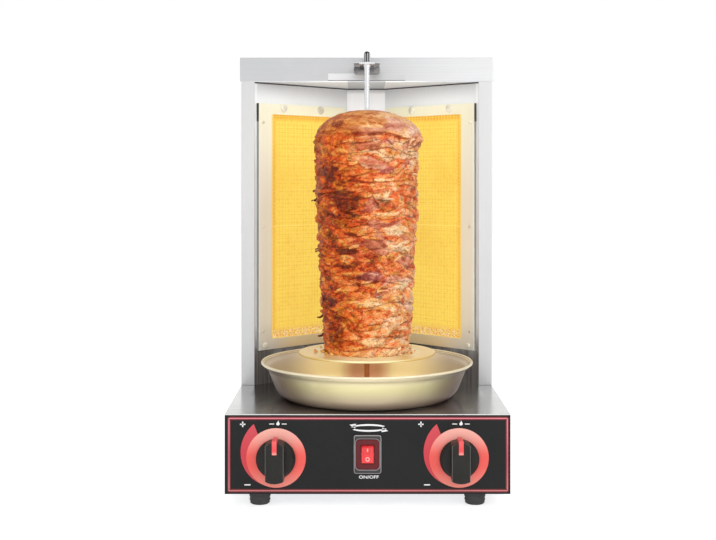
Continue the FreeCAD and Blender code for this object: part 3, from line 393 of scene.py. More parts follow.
@dataclass(frozen=True)
class LinerSteel(BrushedSteel):
    """Liner sheet: a pale middle strip, painted shade under the ceiling and at the foot, painted light on its outer
    edges and a painted reflection on the ceiling.
    """

    # foot and under: colours of the painted shade; recess: the painted reflection on the ceiling.
    foot: Colour = tone(96, 89, 84)
    under: Colour = tone(190, 194, 198)
    strip: Colour = tone(247, 251, 253)
    roof: Colour = tone(226, 230, 234)
    recess: Colour = tone(174, 180, 186)

    def shade(self, tree: Tree, place: bpy.types.NodeSocket, base: bpy.types.NodeSocket) -> bpy.types.NodeSocket:
        """Painted shade under the ceiling and at the foot, a paler middle strip, painted light on the outer edges, and
        a duller ceiling with a painted reflection of the strip.
        """
        split = tree.add("ShaderNodeSeparateXYZ", {0: place})
        height = split.outputs[2]
        # Painted shade under the ceiling.
        shaded = tree.math("MULTIPLY", tree.fade(height, 0.440, 0.462, 0.0, 0.85), tree.math("LESS_THAN", height, 0.4627))
        base = tree.mix(shaded, base, self.under)
        middle = tree.fade(tree.math("ABSOLUTE", split.outputs[0]), 0.0240, 0.0246, 1.0, 0.0)
        middle = tree.math("MULTIPLY", middle, tree.fade(split.outputs[1], 0.10, 0.11))
        base = tree.mix(tree.math("MULTIPLY", middle, tree.fade(height, 0.455, 0.4605, 0.8, 0.0)), base, self.strip)
        # Painted light along each wall's outer edge, against its shade.
        outer = tree.math("MULTIPLY", tree.fade(split.outputs[1], 0.0160, 0.0175, 1.0, 0.0),
                          tree.fade(height, 0.21, 0.40, 0.0, 0.5))
        base = tree.mix(outer, base, self.strip)
        # Painted shade at the foot, with a patchy edge.
        patch = EFFECTS.use(tree, Effect.SMUDGE, {"Vector": place, "Scale": 20.0}).outputs[0]
        low = tree.fade(tree.math("ADD", height, tree.math("MULTIPLY", patch, 0.02)), 0.135, 0.18, 1.0, 0.0)
        base = tree.mix(low, base, self.foot)
        # Ceiling: its own duller colour, with a painted reflection of the middle strip.
        roof = tree.math("GREATER_THAN", height, 0.4627)
        recess = tree.fade(tree.math("ABSOLUTE", split.outputs[0]), 0.0226, 0.0232, 1.0, 0.0)
        return tree.mix(roof, base, tree.mix(recess, self.roof, self.recess))


@dataclass(frozen=True)
class BracketSteel(BrushedSteel):
    """Bracket and arm: polished, with painted shade towards the flange's right end, a painted shadow along its lower
    edge and painted shade under the tongue.
    """

    def shade(self, tree: Tree, place: bpy.types.NodeSocket, base: bpy.types.NodeSocket) -> bpy.types.NodeSocket:
        """Painted shade on the flange's right end and lower edge, a painted shadow line under it, and painted shade on
        the tongue beside the arm.
        """
        split = tree.add("ShaderNodeSeparateXYZ", {0: place})
        # Painted shade and shadow on the flange.
        flange = tree.fade(split.outputs[2], 0.4725, 0.4735, 1.0, 0.0)
        right = tree.math("MULTIPLY", tree.fade(split.outputs[0], 0.002, 0.012), flange)
        edge = tree.math("MULTIPLY", tree.fade(split.outputs[2], 0.4640, 0.4652, 0.7, 0.0), flange)
        base = tree.mix(tree.math("MAXIMUM", right, edge), base, tone(206, 207, 208))
        base = tree.mix(tree.fade(split.outputs[2], 0.4646, 0.4651, 0.9, 0.0), base, tone(112, 112, 114))
        # Painted shade under the tongue beside the arm, its front edge lighter.
        tongue = tree.math("MULTIPLY", tree.math("GREATER_THAN", split.outputs[2], 0.4772),
                           tree.fade(tree.math("ABSOLUTE", split.outputs[0]), 0.0086, 0.0090))
        shaded = tree.mix(tree.fade(split.outputs[2], 0.4789, 0.4792), tone(104, 104, 106), tone(212, 213, 214))
        return tree.mix(tongue, base, shaded)


@dataclass(frozen=True)
class CoverSteel(BrushedSteel):
    """Burner covers: cream from painted burner light with a straw tint, browner under the window from a painted
    reflection, and a painted glow beside the window.
    """

    warm: Colour = tone(250, 249, 210)
    brown: Colour = tone(255, 226, 162)
    grey: Colour = tone(222, 220, 208)
    lit: Colour = tone(250, 206, 84)

    def shade(self, tree: Tree, place: bpy.types.NodeSocket, base: bpy.types.NodeSocket) -> bpy.types.NodeSocket:
        """Paints burner light with a straw tint over the metal, a painted reflection under the window, a darker cream
        towards the top and a painted glow along the window's side.
        """
        # Painted burner light with a straw tint.
        glow = EFFECTS.use(tree, Effect.BURNER_GLOW, {"Vector": place}).outputs[0]
        base = tree.mix(tree.math("MULTIPLY", glow, 0.9), base, self.warm)
        split = tree.add("ShaderNodeSeparateXYZ", {0: place})
        height = split.outputs[2]
        aside = tree.math("SUBTRACT", WALL_CORNER.x, tree.math("ABSOLUTE", split.outputs[0]))
        deep = tree.math("SUBTRACT", split.outputs[1], WALL_CORNER.y)
        along = tree.math("ADD", tree.math("MULTIPLY", aside, math.cos(WALL_ANGLE)),
                          tree.math("MULTIPLY", deep, math.sin(WALL_ANGLE)))
        # Painted reflection of the pan and meat: browner under the window, greyer at the outer end.
        brown_below = tree.mix(tree.fade(along, 0.010, 0.070), self.grey, self.brown)
        base = tree.mix(tree.fade(height, 0.142, 0.180, 0.9, 0.0), base, brown_below)
        base = tree.mix(tree.fade(height, 0.36, 0.43, 0.0, 0.7), base, tone(236, 232, 200))
        # Painted glow: the metal along the window's side glows orange to the camera, over a darker orange base.
        beside = tree.math("MULTIPLY", tree.fade(along, 0.0222, 0.0240),
                           tree.fade(height, 0.4238, 0.4262, 1.0, 0.0))
        beside = tree.math("MULTIPLY", beside, tree.fade(height, 0.1530, 0.1555))
        shader = next(n for n in tree.tree.nodes if n.bl_idname == "ShaderNodeBsdfPrincipled")
        seen = tree.add("ShaderNodeLightPath").outputs["Is Camera Ray"]
        glow = tree.mix(tree.math("MULTIPLY", beside, seen), (0.0, 0.0, 0.0, 1.0), self.lit)
        self.feed(tree, shader, {"Emission Color": glow, "Emission Strength": 0.62})
        return tree.mix(beside, base, tree.mix(0.66, self.lit, (0.0, 0.0, 0.0, 1.0)))


@dataclass(frozen=True)
class PlainMetal(Finish):
    """Turned, cast, plated or rolled metal with fine specks."""

    light: Colour = tone(200, 200, 200)
    dark: Colour = tone(150, 150, 150)
    rough: float = 0.35
    scale: float = 900.0
    metallic: float = 1.0
    depth: float = 0.00005

    def dress(self, tree: Tree, shader: bpy.types.Node) -> None:
        """Specks and smudges vary colour, roughness and height."""
        place = tree.place()
        specks = EFFECTS.use(tree, Effect.SPECKLE, {"Vector": place, "Scale": self.scale}).outputs[0]
        smudge = EFFECTS.use(tree, Effect.SMUDGE, {"Vector": place, "Scale": 45.0}).outputs[0]
        base = tree.mix(smudge, self.light, self.dark)
        base = tree.mix(tree.math("MULTIPLY", specks, 0.35), base, self.dark)
        rough = tree.math("ADD", tree.math("MULTIPLY", specks, 0.12), self.rough)
        self.feed(tree, shader, {"Base Color": base, "Roughness": rough, "Metallic": self.metallic,
                                 "Normal": self.bump(tree, specks, self.depth, 0.4)})


@dataclass(frozen=True)
class PanMetal(Finish):
    """Satin pan metal: cream, spun with fine rings, with painted shade low down and round the sides."""

    cream: Colour = tone(240, 232, 174)
    rim: Colour = tone(250, 238, 204)
    low: Colour = tone(184, 164, 146)
    brown: Colour = tone(72, 38, 32)
    side: float = 0.9
    metallic: float = 0.55
    # Strengths of the painted reflection and of the painted glow.
    painted_reflection: float = 0.0
    painted_glow: float = 0.0

    def dress(self, tree: Tree, shader: bpy.types.Node) -> None:
        """Rings from turning, painted shade at the foot and round the sides, a painted highlight on the rolled rim, a
        reddish painted reflection behind the spit and a painted glow inside.
        """
        place = tree.place()
        split = tree.add("ShaderNodeSeparateXYZ", {0: place})
        height = split.outputs[2]
        aside = tree.math("ABSOLUTE", split.outputs[0])
        smudge = EFFECTS.use(tree, Effect.SMUDGE, {"Vector": place, "Scale": 12.0}).outputs[0]
        # Painted shade: darker low down, where the pan curves under.
        base = tree.mix(tree.fade(height, 0.103, 0.132), self.low, self.cream)
        # Painted shade round the sides, where the round pan turns away.
        sides = tree.math("MULTIPLY", tree.fade(aside, 0.044, 0.102), self.side)
        # Painted highlight near the top and on the rolled rim.
        base = tree.mix(tree.fade(height, 0.124, 0.137, 0.0, 0.8), base, self.rim)
        lip = tree.fade(height, 0.1372, 0.1388)
        base = tree.mix(lip, base, self.rim)
        base = tree.mix(tree.math("MULTIPLY", sides, tree.math("MULTIPLY_ADD", lip, -0.80, 1.0)), base, self.brown)
        base = tree.mix(tree.math("MULTIPLY", smudge, 0.12), base, self.brown)
        # Painted reflection: reddish behind the spit.
        behind = tree.math("MULTIPLY", tree.fade(split.outputs[1], SPIT.y, SPIT.y + 0.06), tree.fade(height, 0.102, 0.106))
        painted_reflection = tree.math("MULTIPLY", tree.fade(aside, 0.012, 0.036, self.painted_reflection, 0.0), behind)
        base = tree.mix(painted_reflection, base, tone(240, 140, 104))
        rings = tree.noise(tree.stretch(place, (8.0, 8.0, 900.0)), 1.0, 2.0, 0.6)
        rough = tree.math("ADD", tree.math("MULTIPLY", smudge, 0.12), 0.36)
        if self.painted_glow:
            # Painted glow on the inner wall behind the spit, and a darker floor inside.
            zone = tree.math("MULTIPLY", tree.fade(aside, 0.014, 0.040), tree.fade(aside, 0.050, 0.100, 1.0, 0.0))
            zone = tree.math("MULTIPLY", zone, tree.fade(height, 0.1015, 0.106))
            lit = tree.mix(zone, (0.0, 0.0, 0.0, 1.0), tone(255, 220, 140))
            base = tree.mix(tree.fade(height, 0.1014, 0.1040, 0.7, 0.0), base, tone(176, 150, 108))
            self.feed(tree, shader, {"Emission Color": lit, "Emission Strength": self.painted_glow})
        self.feed(tree, shader, {"Base Color": base, "Roughness": rough, "Metallic": self.metallic,
                                 "Normal": self.bump(tree, rings, 0.00006, 0.5)})

    def sheen_level(self) -> float:
        """Satin metal mirrors softly."""
        return 0.4


@dataclass(frozen=True)
class DiscSteel(Finish):
    """The plate under the meat: cream metal with turning rings, fat stains near the meat that also stand as painted
    light, and painted light at the front.
    """

    cream: Colour = tone(234, 200, 120)
    fat: Colour = tone(250, 236, 180)
    # Colour of the painted light at the front.
    painted_front_light: Colour = tone(253, 250, 200)

    def dress(self, tree: Tree, shader: bpy.types.Node) -> None:
        """Fat stains close to the meat, paler also as painted light against its shadow, and painted light on the disc's
        front.
        """
        place = tree.place()
        away = tree.add("ShaderNodeVectorMath", {0: place, 1: (0.0, SPIT.y, 0.15)}, operation="DISTANCE").outputs[1]
        patch = tree.noise(place, 90.0, 4.0, 0.6)
        # Fat stains and painted light near the meat.
        near = tree.fade(tree.math("ADD", away, tree.math("MULTIPLY", patch, 0.02)), 0.058, 0.075, 0.8, 0.0)
        base = tree.mix(near, self.cream, self.fat)
        # Painted light on the front of the disc.
        painted_front_light = tree.add("ShaderNodeVectorMath", {0: place, 1: (0.0, SPIT.y - 0.064, 0.15)}, operation="DISTANCE").outputs[1]
        base = tree.mix(tree.fade(painted_front_light, 0.018, 0.056, 1.0, 0.0), base, self.painted_front_light)
        rough = tree.math("ADD", tree.math("MULTIPLY", patch, 0.25), 0.22)
        rings = tree.noise(tree.stretch(place, (600.0, 600.0, 600.0)), 1.0, 1.0, 0.5)
        self.feed(tree, shader, {"Base Color": base, "Roughness": rough, "Metallic": 0.3,
                                 "Normal": self.bump(tree, rings, 0.00003, 0.4)})


@dataclass(frozen=True)
class Moulded(Finish):
    """Moulded plastic or rubber with a faint grain and worn, paler patches."""

    colour: Colour = tone(28, 28, 29)
    worn: Colour = tone(48, 48, 49)
    rough: float = 0.42
    grain: float = 1500.0
    depth: float = 0.00004
    coat: float = 0.0
    glow: float = 0.0

    def sheen_level(self) -> float:
        """Dull mouldings mirror little."""
        return 0.22

    def dress(self, tree: Tree, shader: bpy.types.Node) -> None:
        """Grain and handling marks."""
        place = tree.place()
        specks = EFFECTS.use(tree, Effect.SPECKLE, {"Vector": place, "Scale": self.grain}).outputs[0]
        smudge = EFFECTS.use(tree, Effect.SMUDGE, {"Vector": place, "Scale": 60.0}).outputs[0]
        base = tree.mix(tree.math("MULTIPLY", smudge, 0.55), self.colour, self.worn)
        rough = tree.math("ADD", tree.math("MULTIPLY", smudge, 0.14), self.rough)
        self.feed(tree, shader, {"Base Color": base, "Roughness": rough, "Coat Weight": self.coat,
                                 "Normal": self.bump(tree, specks, self.depth, 0.4)})
        if self.glow:
            self.feed(tree, shader, {"Emission Color": base, "Emission Strength": self.glow})


@dataclass(frozen=True)
class PanelPaint(Finish):
    """Satin black paint of the control panel, with fine orange peel and faint scuffs."""

    colour: Colour = tone(24, 25, 25)
    deep: Colour = tone(18, 19, 19)

    def sheen_level(self) -> float:
        """Satin paint mirrors little."""
        return 0.22

    def dress(self, tree: Tree, shader: bpy.types.Node) -> None:
        """Orange peel in the height, scuffs in the roughness."""
        place = tree.place()
        smudge = EFFECTS.use(tree, Effect.SMUDGE, {"Vector": place, "Scale": 16.0}).outputs[0]
        specks = EFFECTS.use(tree, Effect.SPECKLE, {"Vector": place, "Scale": 1100.0}).outputs[0]
        peel = tree.noise(place, 700.0, 2.0, 0.5)
        base = tree.mix(smudge, self.deep, self.colour)
        base = tree.mix(tree.math("MULTIPLY", specks, 0.10), base, tone(60, 61, 62))
        rough = tree.math("ADD", tree.math("MULTIPLY", smudge, 0.10), 0.36)
        self.feed(tree, shader, {"Base Color": base, "Roughness": rough,
                                 "Normal": self.bump(tree, peel, 0.00003, 0.5)})


@dataclass(frozen=True)
class PrintInk(Finish):
    """Screen-printed ink that changes colour with height, around a middle."""

    top: Colour = tone(252, 176, 158)
    middle: Colour = tone(250, 104, 92)
    bottom: Colour = tone(246, 140, 124)
    centre: float = 0.054
    reach: float = 0.031
    rough: float = 0.45

    def dress(self, tree: Tree, shader: bpy.types.Node) -> None:
        """Three colours over the height, with a little unevenness in the ink."""
        place = tree.place()
        height = tree.add("ShaderNodeSeparateXYZ", {0: place}).outputs[2]
        speck = EFFECTS.use(tree, Effect.SPECKLE, {"Vector": place, "Scale": 1600.0}).outputs[0]
        base = tree.mix(tree.fade(height, self.centre, self.centre + self.reach), self.middle, self.top)
        base = tree.mix(tree.fade(height, self.centre - self.reach, self.centre - 0.2 * self.reach), self.bottom, base)
        base = tree.mix(tree.math("MULTIPLY", speck, 0.10), base, self.middle)
        rough = tree.math("ADD", tree.math("MULTIPLY", speck, 0.15), self.rough)
        self.feed(tree, shader, {"Base Color": base, "Roughness": rough})


@dataclass(frozen=True)
class BurnerCeramic(Finish):
    """Glowing ceramic: rows of fine flame ports, with orange painted shade at the window's outer and upper edges."""

    hot: Colour = tone(255, 221, 94)
    edge: Colour = tone(236, 164, 46)
    port: Colour = tone(244, 192, 68)
    strength: float = 0.64
    spill: float = 1.30

    def dress(self, tree: Tree, shader: bpy.types.Node) -> None:
        """Flame ports in a close pattern, with orange painted shade towards the outer and upper edges and a few orange
        patches.
        """
        place = tree.place()
        split = tree.add("ShaderNodeSeparateXYZ", {0: place})
        aside = tree.math("ABSOLUTE", split.outputs[0])
        run = tree.math("MULTIPLY", tree.math("SUBTRACT", WALL_CORNER.x, aside), math.cos(WALL_ANGLE))
        deep = tree.math("MULTIPLY", tree.math("SUBTRACT", split.outputs[1], WALL_CORNER.y), math.sin(WALL_ANGLE))
        along = tree.math("ADD", run, deep)
        flat = tree.add("ShaderNodeCombineXYZ", {0: along, 1: split.outputs[2]}).outputs[0]
        ports = tree.add("ShaderNodeTexVoronoi", {"Vector": flat, "Scale": 340.0, "Randomness": 0.12},
                         voronoi_dimensions="2D").outputs[0]
        dots = tree.fade(ports, 0.18, 0.34, 1.0, 0.0)
        # Painted shade: orange along the window's outer and upper edges, plus random orange patches.
        shade_side = tree.fade(along, 0.0265, 0.0335, 1.0, 0.0)
        shade_top = tree.fade(split.outputs[2], 0.4155, 0.4235, 0.0, 1.0)
        shade_and_patches = tree.math("MAXIMUM", shade_side, shade_top)
        patch = tree.noise(place, 24.0, 3.0, 0.5)
        shade_and_patches = tree.math("ADD", shade_and_patches, tree.fade(patch, 0.45, 0.75, 0.0, 0.22), clamp=True)
        low = tree.fade(split.outputs[2], 0.157, 0.170, 1.0, 0.0)
        base = tree.mix(tree.math("MAXIMUM", shade_and_patches, low), self.hot, self.edge)
        base = tree.mix(tree.math("MULTIPLY", dots, 0.6), base, self.port)
        foot = tree.fade(split.outputs[2], 0.1580, 0.1680, 1.0, 0.0)
        speck = tree.fade(tree.noise(tree.stretch(place, (1.0, 1.0, 1.3)), 560.0, 1.0, 0.5), 0.46, 0.56)
        base = tree.mix(tree.math("MULTIPLY", foot, 0.75), base, tree.mix(speck, tone(222, 146, 54), tone(255, 246, 208)))
        glow = self.gentle_glow(tree, base, self.spill)
        dull = tree.mix(0.62, base, (0.0, 0.0, 0.0, 1.0))
        self.feed(tree, shader, {"Base Color": dull, "Roughness": 0.8, "Emission Color": glow,
                                 "Emission Strength": self.strength,
                                 "Normal": self.bump(tree, dots, -0.0004, 0.6)})


@dataclass(frozen=True)
class HotWire(Finish):
    """Heat-resisting wire that glows in front of the burner."""

    light: Colour = tone(252, 212, 90)
    dark: Colour = tone(244, 194, 74)
    strength: float = 0.62
    spill: float = 1.30

    def dress(self, tree: Tree, shader: bpy.types.Node) -> None:
        """Uneven scale along the wire."""
        place = tree.place()
        patch = tree.noise(place, 160.0, 3.0, 0.6)
        base = tree.mix(tree.fade(patch, 0.35, 0.7), self.light, self.dark)
        dull = tree.mix(0.62, base, (0.0, 0.0, 0.0, 1.0))
        self.feed(tree, shader, {"Base Color": dull, "Roughness": 0.6, "Metallic": 0.3,
                                 "Emission Color": self.gentle_glow(tree, base, self.spill),
                                 "Emission Strength": self.strength})


@dataclass(frozen=True)
class RoastMeat(Finish):
    """Roasted sliced meat. Attributes give each place its tone, depth, char, rose and tan shares."""

    gloss: float = 0.12
    fibres: float = 0.66
    crumbs: float = 0.48

    def sheen_level(self) -> float:
        """Cooked meat mirrors little, apart from its fat."""
        return 0.16

    def dress(self, tree: Tree, shader: bpy.types.Node) -> None:
        """Layer tones with fine fibres, dark crevices of painted shade, char, rosy slices, a tanned top and painted
        shade on the left.
        """
        place = tree.place()
        flat = tree.stretch(place, (1.0, 1.0, 2.6))
        fibre = tree.noise(flat, 240.0, 4.0, 0.65, 1.4)
        crumb = tree.noise(flat, 105.0, 3.0, 0.6, 1.8)
        wide = tree.noise(place, 30.0, 3.0, 0.5)
        share = tree.math("ADD", tree.attribute("meat_tone"), tree.math("MULTIPLY_ADD", fibre, self.fibres, -self.fibres / 2))
        share = tree.math("ADD", share, tree.math("MULTIPLY_ADD", crumb, self.crumbs, -self.crumbs / 2))
        share = tree.math("ADD", share, tree.math("MULTIPLY_ADD", wide, 0.20, -0.10), clamp=True)
        base = tree.ramp(share, [
            (0.00, tone(100, 24, 8)), (0.14, tone(152, 50, 14)), (0.28, tone(196, 72, 26)),
            (0.43, tone(226, 98, 42)), (0.57, tone(240, 126, 66)), (0.71, tone(246, 156, 98)),
            (0.86, tone(252, 188, 134)), (1.00, tone(254, 218, 174))])
        golden = tree.ramp(share, [
            (0.00, tone(104, 40, 8)), (0.20, tone(160, 82, 20)), (0.40, tone(206, 124, 42)),
            (0.60, tone(234, 162, 76)), (0.80, tone(246, 194, 116)), (1.00, tone(254, 226, 172))])
        hue = tree.noise(tree.stretch(place, (1.0, 1.0, 1.8)), 62.0, 3.0, 0.6, 0.8)
        base = tree.mix(tree.fade(hue, 0.47, 0.60, 0.0, 0.85), base, golden)
        tanned = tree.ramp(share, [
            (0.00, tone(128, 48, 20)), (0.30, tone(188, 98, 44)), (0.50, tone(216, 150, 88)),
            (0.70, tone(238, 192, 136)), (1.00, tone(254, 234, 200))])
        base = tree.mix(tree.attribute("meat_tan"), base, tanned)
        specks = tree.noise(tree.stretch(place, (1.0, 1.0, 1.7)), 280.0, 3.0, 0.6, 2.0)
        base = tree.mix(tree.fade(specks, 0.55, 0.70, 0.0, 0.75), base, tone(112, 34, 10))
        base = tree.mix(tree.fade(specks, 0.27, 0.43, 0.60, 0.0), base, tone(255, 222, 166))
        strands = tree.noise(tree.stretch(place, (1.0, 1.0, 3.0)), 150.0, 3.0, 0.6, 2.4)
        torn = tree.math("MULTIPLY", tree.fade(strands, 0.50, 0.60, 0.0, 0.50), tree.fade(share, 0.55, 0.80))
        base = tree.mix(torn, base, tone(216, 104, 58))
        rosy = tree.ramp(share, [
            (0.00, tone(92, 30, 30)), (0.35, tone(158, 78, 72)), (0.70, tone(208, 134, 118)), (1.00, tone(236, 190, 170))])
        base = tree.mix(tree.math("MULTIPLY", tree.attribute("meat_rose"), tree.fade(fibre, 0.3, 0.55, 0.6, 1.0)), base, rosy)
        # Painted shade in the crevices.
        crevice = tree.fade(tree.attribute("meat_depth"), 0.15, 0.80, 0.80, 0.0)
        base = tree.mix(crevice, base, tone(112, 34, 10))
        # Painted shade: the left side darker and more golden.
        left = tree.fade(tree.add("ShaderNodeSeparateXYZ", {0: place}).outputs[0], -0.045, 0.025, 1.0, 0.0)
        base = tree.mix(left, base, tone(255, 236, 170), "MULTIPLY")
        char = tree.math("MULTIPLY", tree.attribute("meat_char"), tree.fade(crumb, 0.38, 0.60))
        base = tree.mix(char, base, tone(62, 18, 8))
        rough = tree.math("ADD", tree.math("MULTIPLY", fibre, 0.30), 0.34)
        coat = tree.fade(wide, 0.42, 0.62, 0.0, self.gloss)
        height = tree.math("ADD", tree.math("MULTIPLY", fibre, 0.5), crumb)
        self.feed(tree, shader, {"Base Color": base, "Roughness": rough, "Coat Weight": coat, "Coat Roughness": 0.25,
                                 "Normal": self.bump(tree, height, 0.0009, 0.6)})


@dataclass(frozen=True)
class SpitSteel(Finish):
    """The spit: bright between the meat and the arm, brown under the disc, dark at the ridged tip with a painted
    highlight on its ridges.
    """

    bright: Colour = tone(238, 238, 240)
    brown_below: Colour = tone(226, 142, 96)
    dark: Colour = tone(52, 52, 54)

    def dress(self, tree: Tree, shader: bpy.types.Node) -> None:
        """Colour by height, with fine turning marks and a painted highlight on the tip's ridges."""
        place = tree.place()
        height = tree.add("ShaderNodeSeparateXYZ", {0: place}).outputs[2]
        marks = tree.noise(tree.stretch(place, (60.0, 60.0, 1800.0)), 1.0, 2.0, 0.6)
        base = tree.mix(tree.fade(height, 0.1480, 0.1500, 1.0, 0.0), self.bright, self.brown_below)
        away = tree.add("ShaderNodeVectorMath", {0: tree.stretch(place, (1.0, 1.0, 0.0)), 1: (0.0, SPIT.y, 0.0)},
                        operation="DISTANCE").outputs[1]
        # Painted highlight on the ridge crests of the tip.
        ridged = tree.mix(tree.fade(away, 0.0030, 0.0036), self.dark, tone(206, 206, 208))
        base = tree.mix(tree.fade(height, 0.4792, 0.4798), base, ridged)
        base = tree.mix(tree.math("MULTIPLY", marks, 0.25), base, self.dark)
        rough = tree.math("ADD", tree.math("MULTIPLY", marks, 0.15), tree.fade(height, 0.4792, 0.4798, 0.16, 0.36))
        metal = tree.fade(height, 0.1480, 0.1500, 0.2, 1.0)
        self.feed(tree, shader, {"Base Color": base, "Roughness": rough, "Metallic": metal,
                                 "Normal": self.bump(tree, marks, 0.00003, 0.5)})


@dataclass(frozen=True)
class StageWhite(Finish):
    """Floor and backdrop: white to the camera and in reflections, and it keeps the object's shadow."""

    shown: float = 0.58

    def material(self) -> bpy.types.Material:
        """Diffuse white with some light of its own for camera and glossy rays."""
        made = bpy.data.materials.new("finish_" + self.name)
        made.use_nodes = True
        made.node_tree.nodes.clear()
        tree = Tree(made.node_tree)
        path = tree.add("ShaderNodeLightPath")
        seen = tree.math("MAXIMUM", path.outputs["Is Camera Ray"],
                         tree.math("MAXIMUM", path.outputs["Is Glossy Ray"], path.outputs["Is Transmission Ray"]))
        grain = tree.noise(tree.place(), 60.0, 2.0, 0.5)
        colour = tree.mix(grain, tone(238, 238, 238), tone(242, 242, 242))
        diffuse = tree.add("ShaderNodeBsdfDiffuse", {"Color": colour})
        light = tree.add("ShaderNodeEmission", {"Color": (1, 1, 1, 1), "Strength": tree.math("MULTIPLY", seen, self.shown)})
        both = tree.add("ShaderNodeAddShader", {0: diffuse.outputs[0], 1: light.outputs[0]})
        tree.add("ShaderNodeOutputMaterial", {0: both.outputs[0]})
        return made


STEEL_UP = UprightSteel("steel_upright", tone(222, 222, 221), tone(204, 205, 205), (1500.0, 1500.0, 14.0), 0.30)
STEEL_ACROSS = HoodSteel("steel_across", tone(206, 207, 208), tone(192, 193, 195), (14.0, 1500.0, 1500.0), 0.34)
STEEL_DECK = DeckSteel("steel_deck", tone(222, 222, 220), tone(196, 196, 195), (10.0, 1500.0, 1500.0), 0.17)
STEEL_LINER = LinerSteel("steel_liner", tone(234, 238, 240), tone(222, 226, 228), (1500.0, 1500.0, 12.0), 0.45, 0.2)
STEEL_COVER = CoverSteel("steel_cover", tone(246, 246, 240), tone(232, 232, 224), (900.0, 900.0, 12.0), 0.45, 0.25)
BRACKET = BracketSteel("steel_bracket", tone(238, 238, 238), tone(222, 223, 224), (14.0, 1500.0, 1500.0), 0.30)
ZINC = PlainMetal("zinc", tone(188, 190, 192), tone(140, 142, 146), 0.38, 700.0)
SCREW = PlainMetal("screw", tone(214, 212, 206), tone(140, 138, 134), 0.28, 900.0)
WARM_SCREW = PlainMetal("warm_screw", tone(248, 246, 230), tone(200, 194, 174), 0.34, 700.0, 0.2)
IRON = PlainMetal("cast_iron", tone(58, 56, 55), tone(34, 32, 31), 0.62, 420.0, 0.8, 0.0003)
NUT = PlainMetal("pale_nut", tone(222, 223, 225), tone(198, 199, 201), 0.40, 700.0, 0.3)
BRASS = PlainMetal("brass", tone(206, 168, 92), tone(160, 122, 58), 0.30, 900.0)
TUBE = PlainMetal("tube", tone(202, 204, 206), tone(150, 152, 156), 0.26, 900.0)
PIPE = PlainMetal("pipe", tone(150, 150, 152), tone(98, 98, 100), 0.44, 600.0)
MOTOR = PlainMetal("motor", tone(96, 99, 104), tone(62, 64, 68), 0.42, 500.0, 0.5)
SHAFT = PlainMetal("shaft", tone(206, 206, 206), tone(160, 160, 160), 0.24, 900.0)
BOLT = PlainMetal("knurled_grey", tone(154, 154, 156), tone(84, 84, 86), 0.55, 520.0, 0.2, 0.0006)
PAN = PanMetal("pan_metal")
PAN_INSIDE = PanMetal("pan_inside", tone(255, 244, 196), tone(238, 226, 206), tone(255, 238, 184), tone(182, 166, 148),
                      0.7, 0.25, 0.6, 0.28)
DISC = DiscSteel("disc_steel")
RUBBER = Moulded("rubber", tone(66, 66, 66), tone(88, 87, 86), 0.60, 900.0, 0.00010)
KNOB = Moulded("knob_black", tone(30, 29, 26), tone(44, 43, 40), 0.34, 1400.0)
EDGE_HIGHLIGHT = Moulded("edge_highlight", tone(104, 104, 104), tone(134, 134, 134), 0.30, 1400.0)
SWITCH = Moulded("switch_black", tone(60, 58, 59), tone(76, 73, 74), 0.36, 1400.0)
FRAME_HIGHLIGHT = Moulded("frame_highlight", tone(150, 145, 146), tone(170, 166, 167), 0.30, 1400.0)
SHADOW_GAP = Moulded("seal", tone(56, 56, 54), tone(78, 77, 74), 0.7, 900.0)
SHADOW_LINE = Moulded("seam", tone(136, 136, 134), tone(158, 157, 154), 0.7, 900.0)
GLAND = Moulded("gland_black", tone(32, 32, 33), tone(52, 52, 53), 0.5, 1200.0)
BEZEL = Moulded("bezel_red", tone(84, 14, 20), tone(104, 24, 30), 0.28, 1600.0, 0.00002, 0.2)
ROCKER = Moulded("rocker_red", tone(218, 44, 50), tone(232, 72, 72), 0.20, 1600.0, 0.00001, 0.5, 0.14)
POINTER = PrintInk("pointer_red", tone(236, 92, 92), tone(240, 74, 78), tone(250, 158, 148), 0.0690, 0.006)
PANEL = PanelPaint("panel_paint")
INK_WHITE = PrintInk("ink_white", tone(240, 240, 240), tone(232, 232, 232), tone(236, 236, 236))
INK_PALE = PrintInk("ink_pale_red", tone(255, 196, 190), tone(255, 186, 182), tone(255, 190, 186))
# The dial ring's paler top and bottom are a painted highlight over the printed red.
INK_RING = PrintInk("ink_ring", tone(246, 182, 168), tone(238, 92, 84), tone(238, 138, 124))
INK_WEDGE = PrintInk("ink_wedge", tone(206, 70, 80), tone(202, 56, 68), tone(196, 76, 82))
INK_PINK = PrintInk("ink_pink", tone(226, 128, 140), tone(208, 96, 112), tone(204, 124, 124))
INK_MAROON = PrintInk("ink_maroon", tone(112, 24, 36), tone(104, 20, 34), tone(110, 30, 34))
CERAMIC = BurnerCeramic("ceramic")
WIRE = HotWire("hot_wire")
MEAT = RoastMeat("roast_meat")
SPIT_STEEL = SpitSteel("spit_steel")

SLOT_FINISH: dict[str, Finish] = {
    "stainless": STEEL_UP, "panel_black": PANEL, "foot_rubber": RUBBER, "zinc": ZINC, "liner_steel": STEEL_LINER,
    "screen_wire": WIRE, "tile": CERAMIC, "box_iron": IRON, "brass": BRASS, "tube_metal": TUBE, "pipe_steel": PIPE,
    "knob_black": KNOB, "pointer_red": POINTER, "switch_black": SWITCH, "bezel_red": BEZEL, "rocker_red": ROCKER,
    "motor_paint": MOTOR, "shaft_steel": SHAFT, "spit_steel": SPIT_STEEL, "disc_steel": DISC, "meat": MEAT,
    "pan_metal": PAN, "bolt_metal": BOLT, "gland_nylon": GLAND,
}
NODE_FINISH: dict[str, Finish] = {
    "hood": STEEL_ACROSS, "base_shell": STEEL_DECK, "burner_cover_left": STEEL_COVER,
    "burner_cover_right": STEEL_COVER, "top_bracket": BRACKET, "spit_arm": BRACKET,
    "clamp_nut": NUT,
}


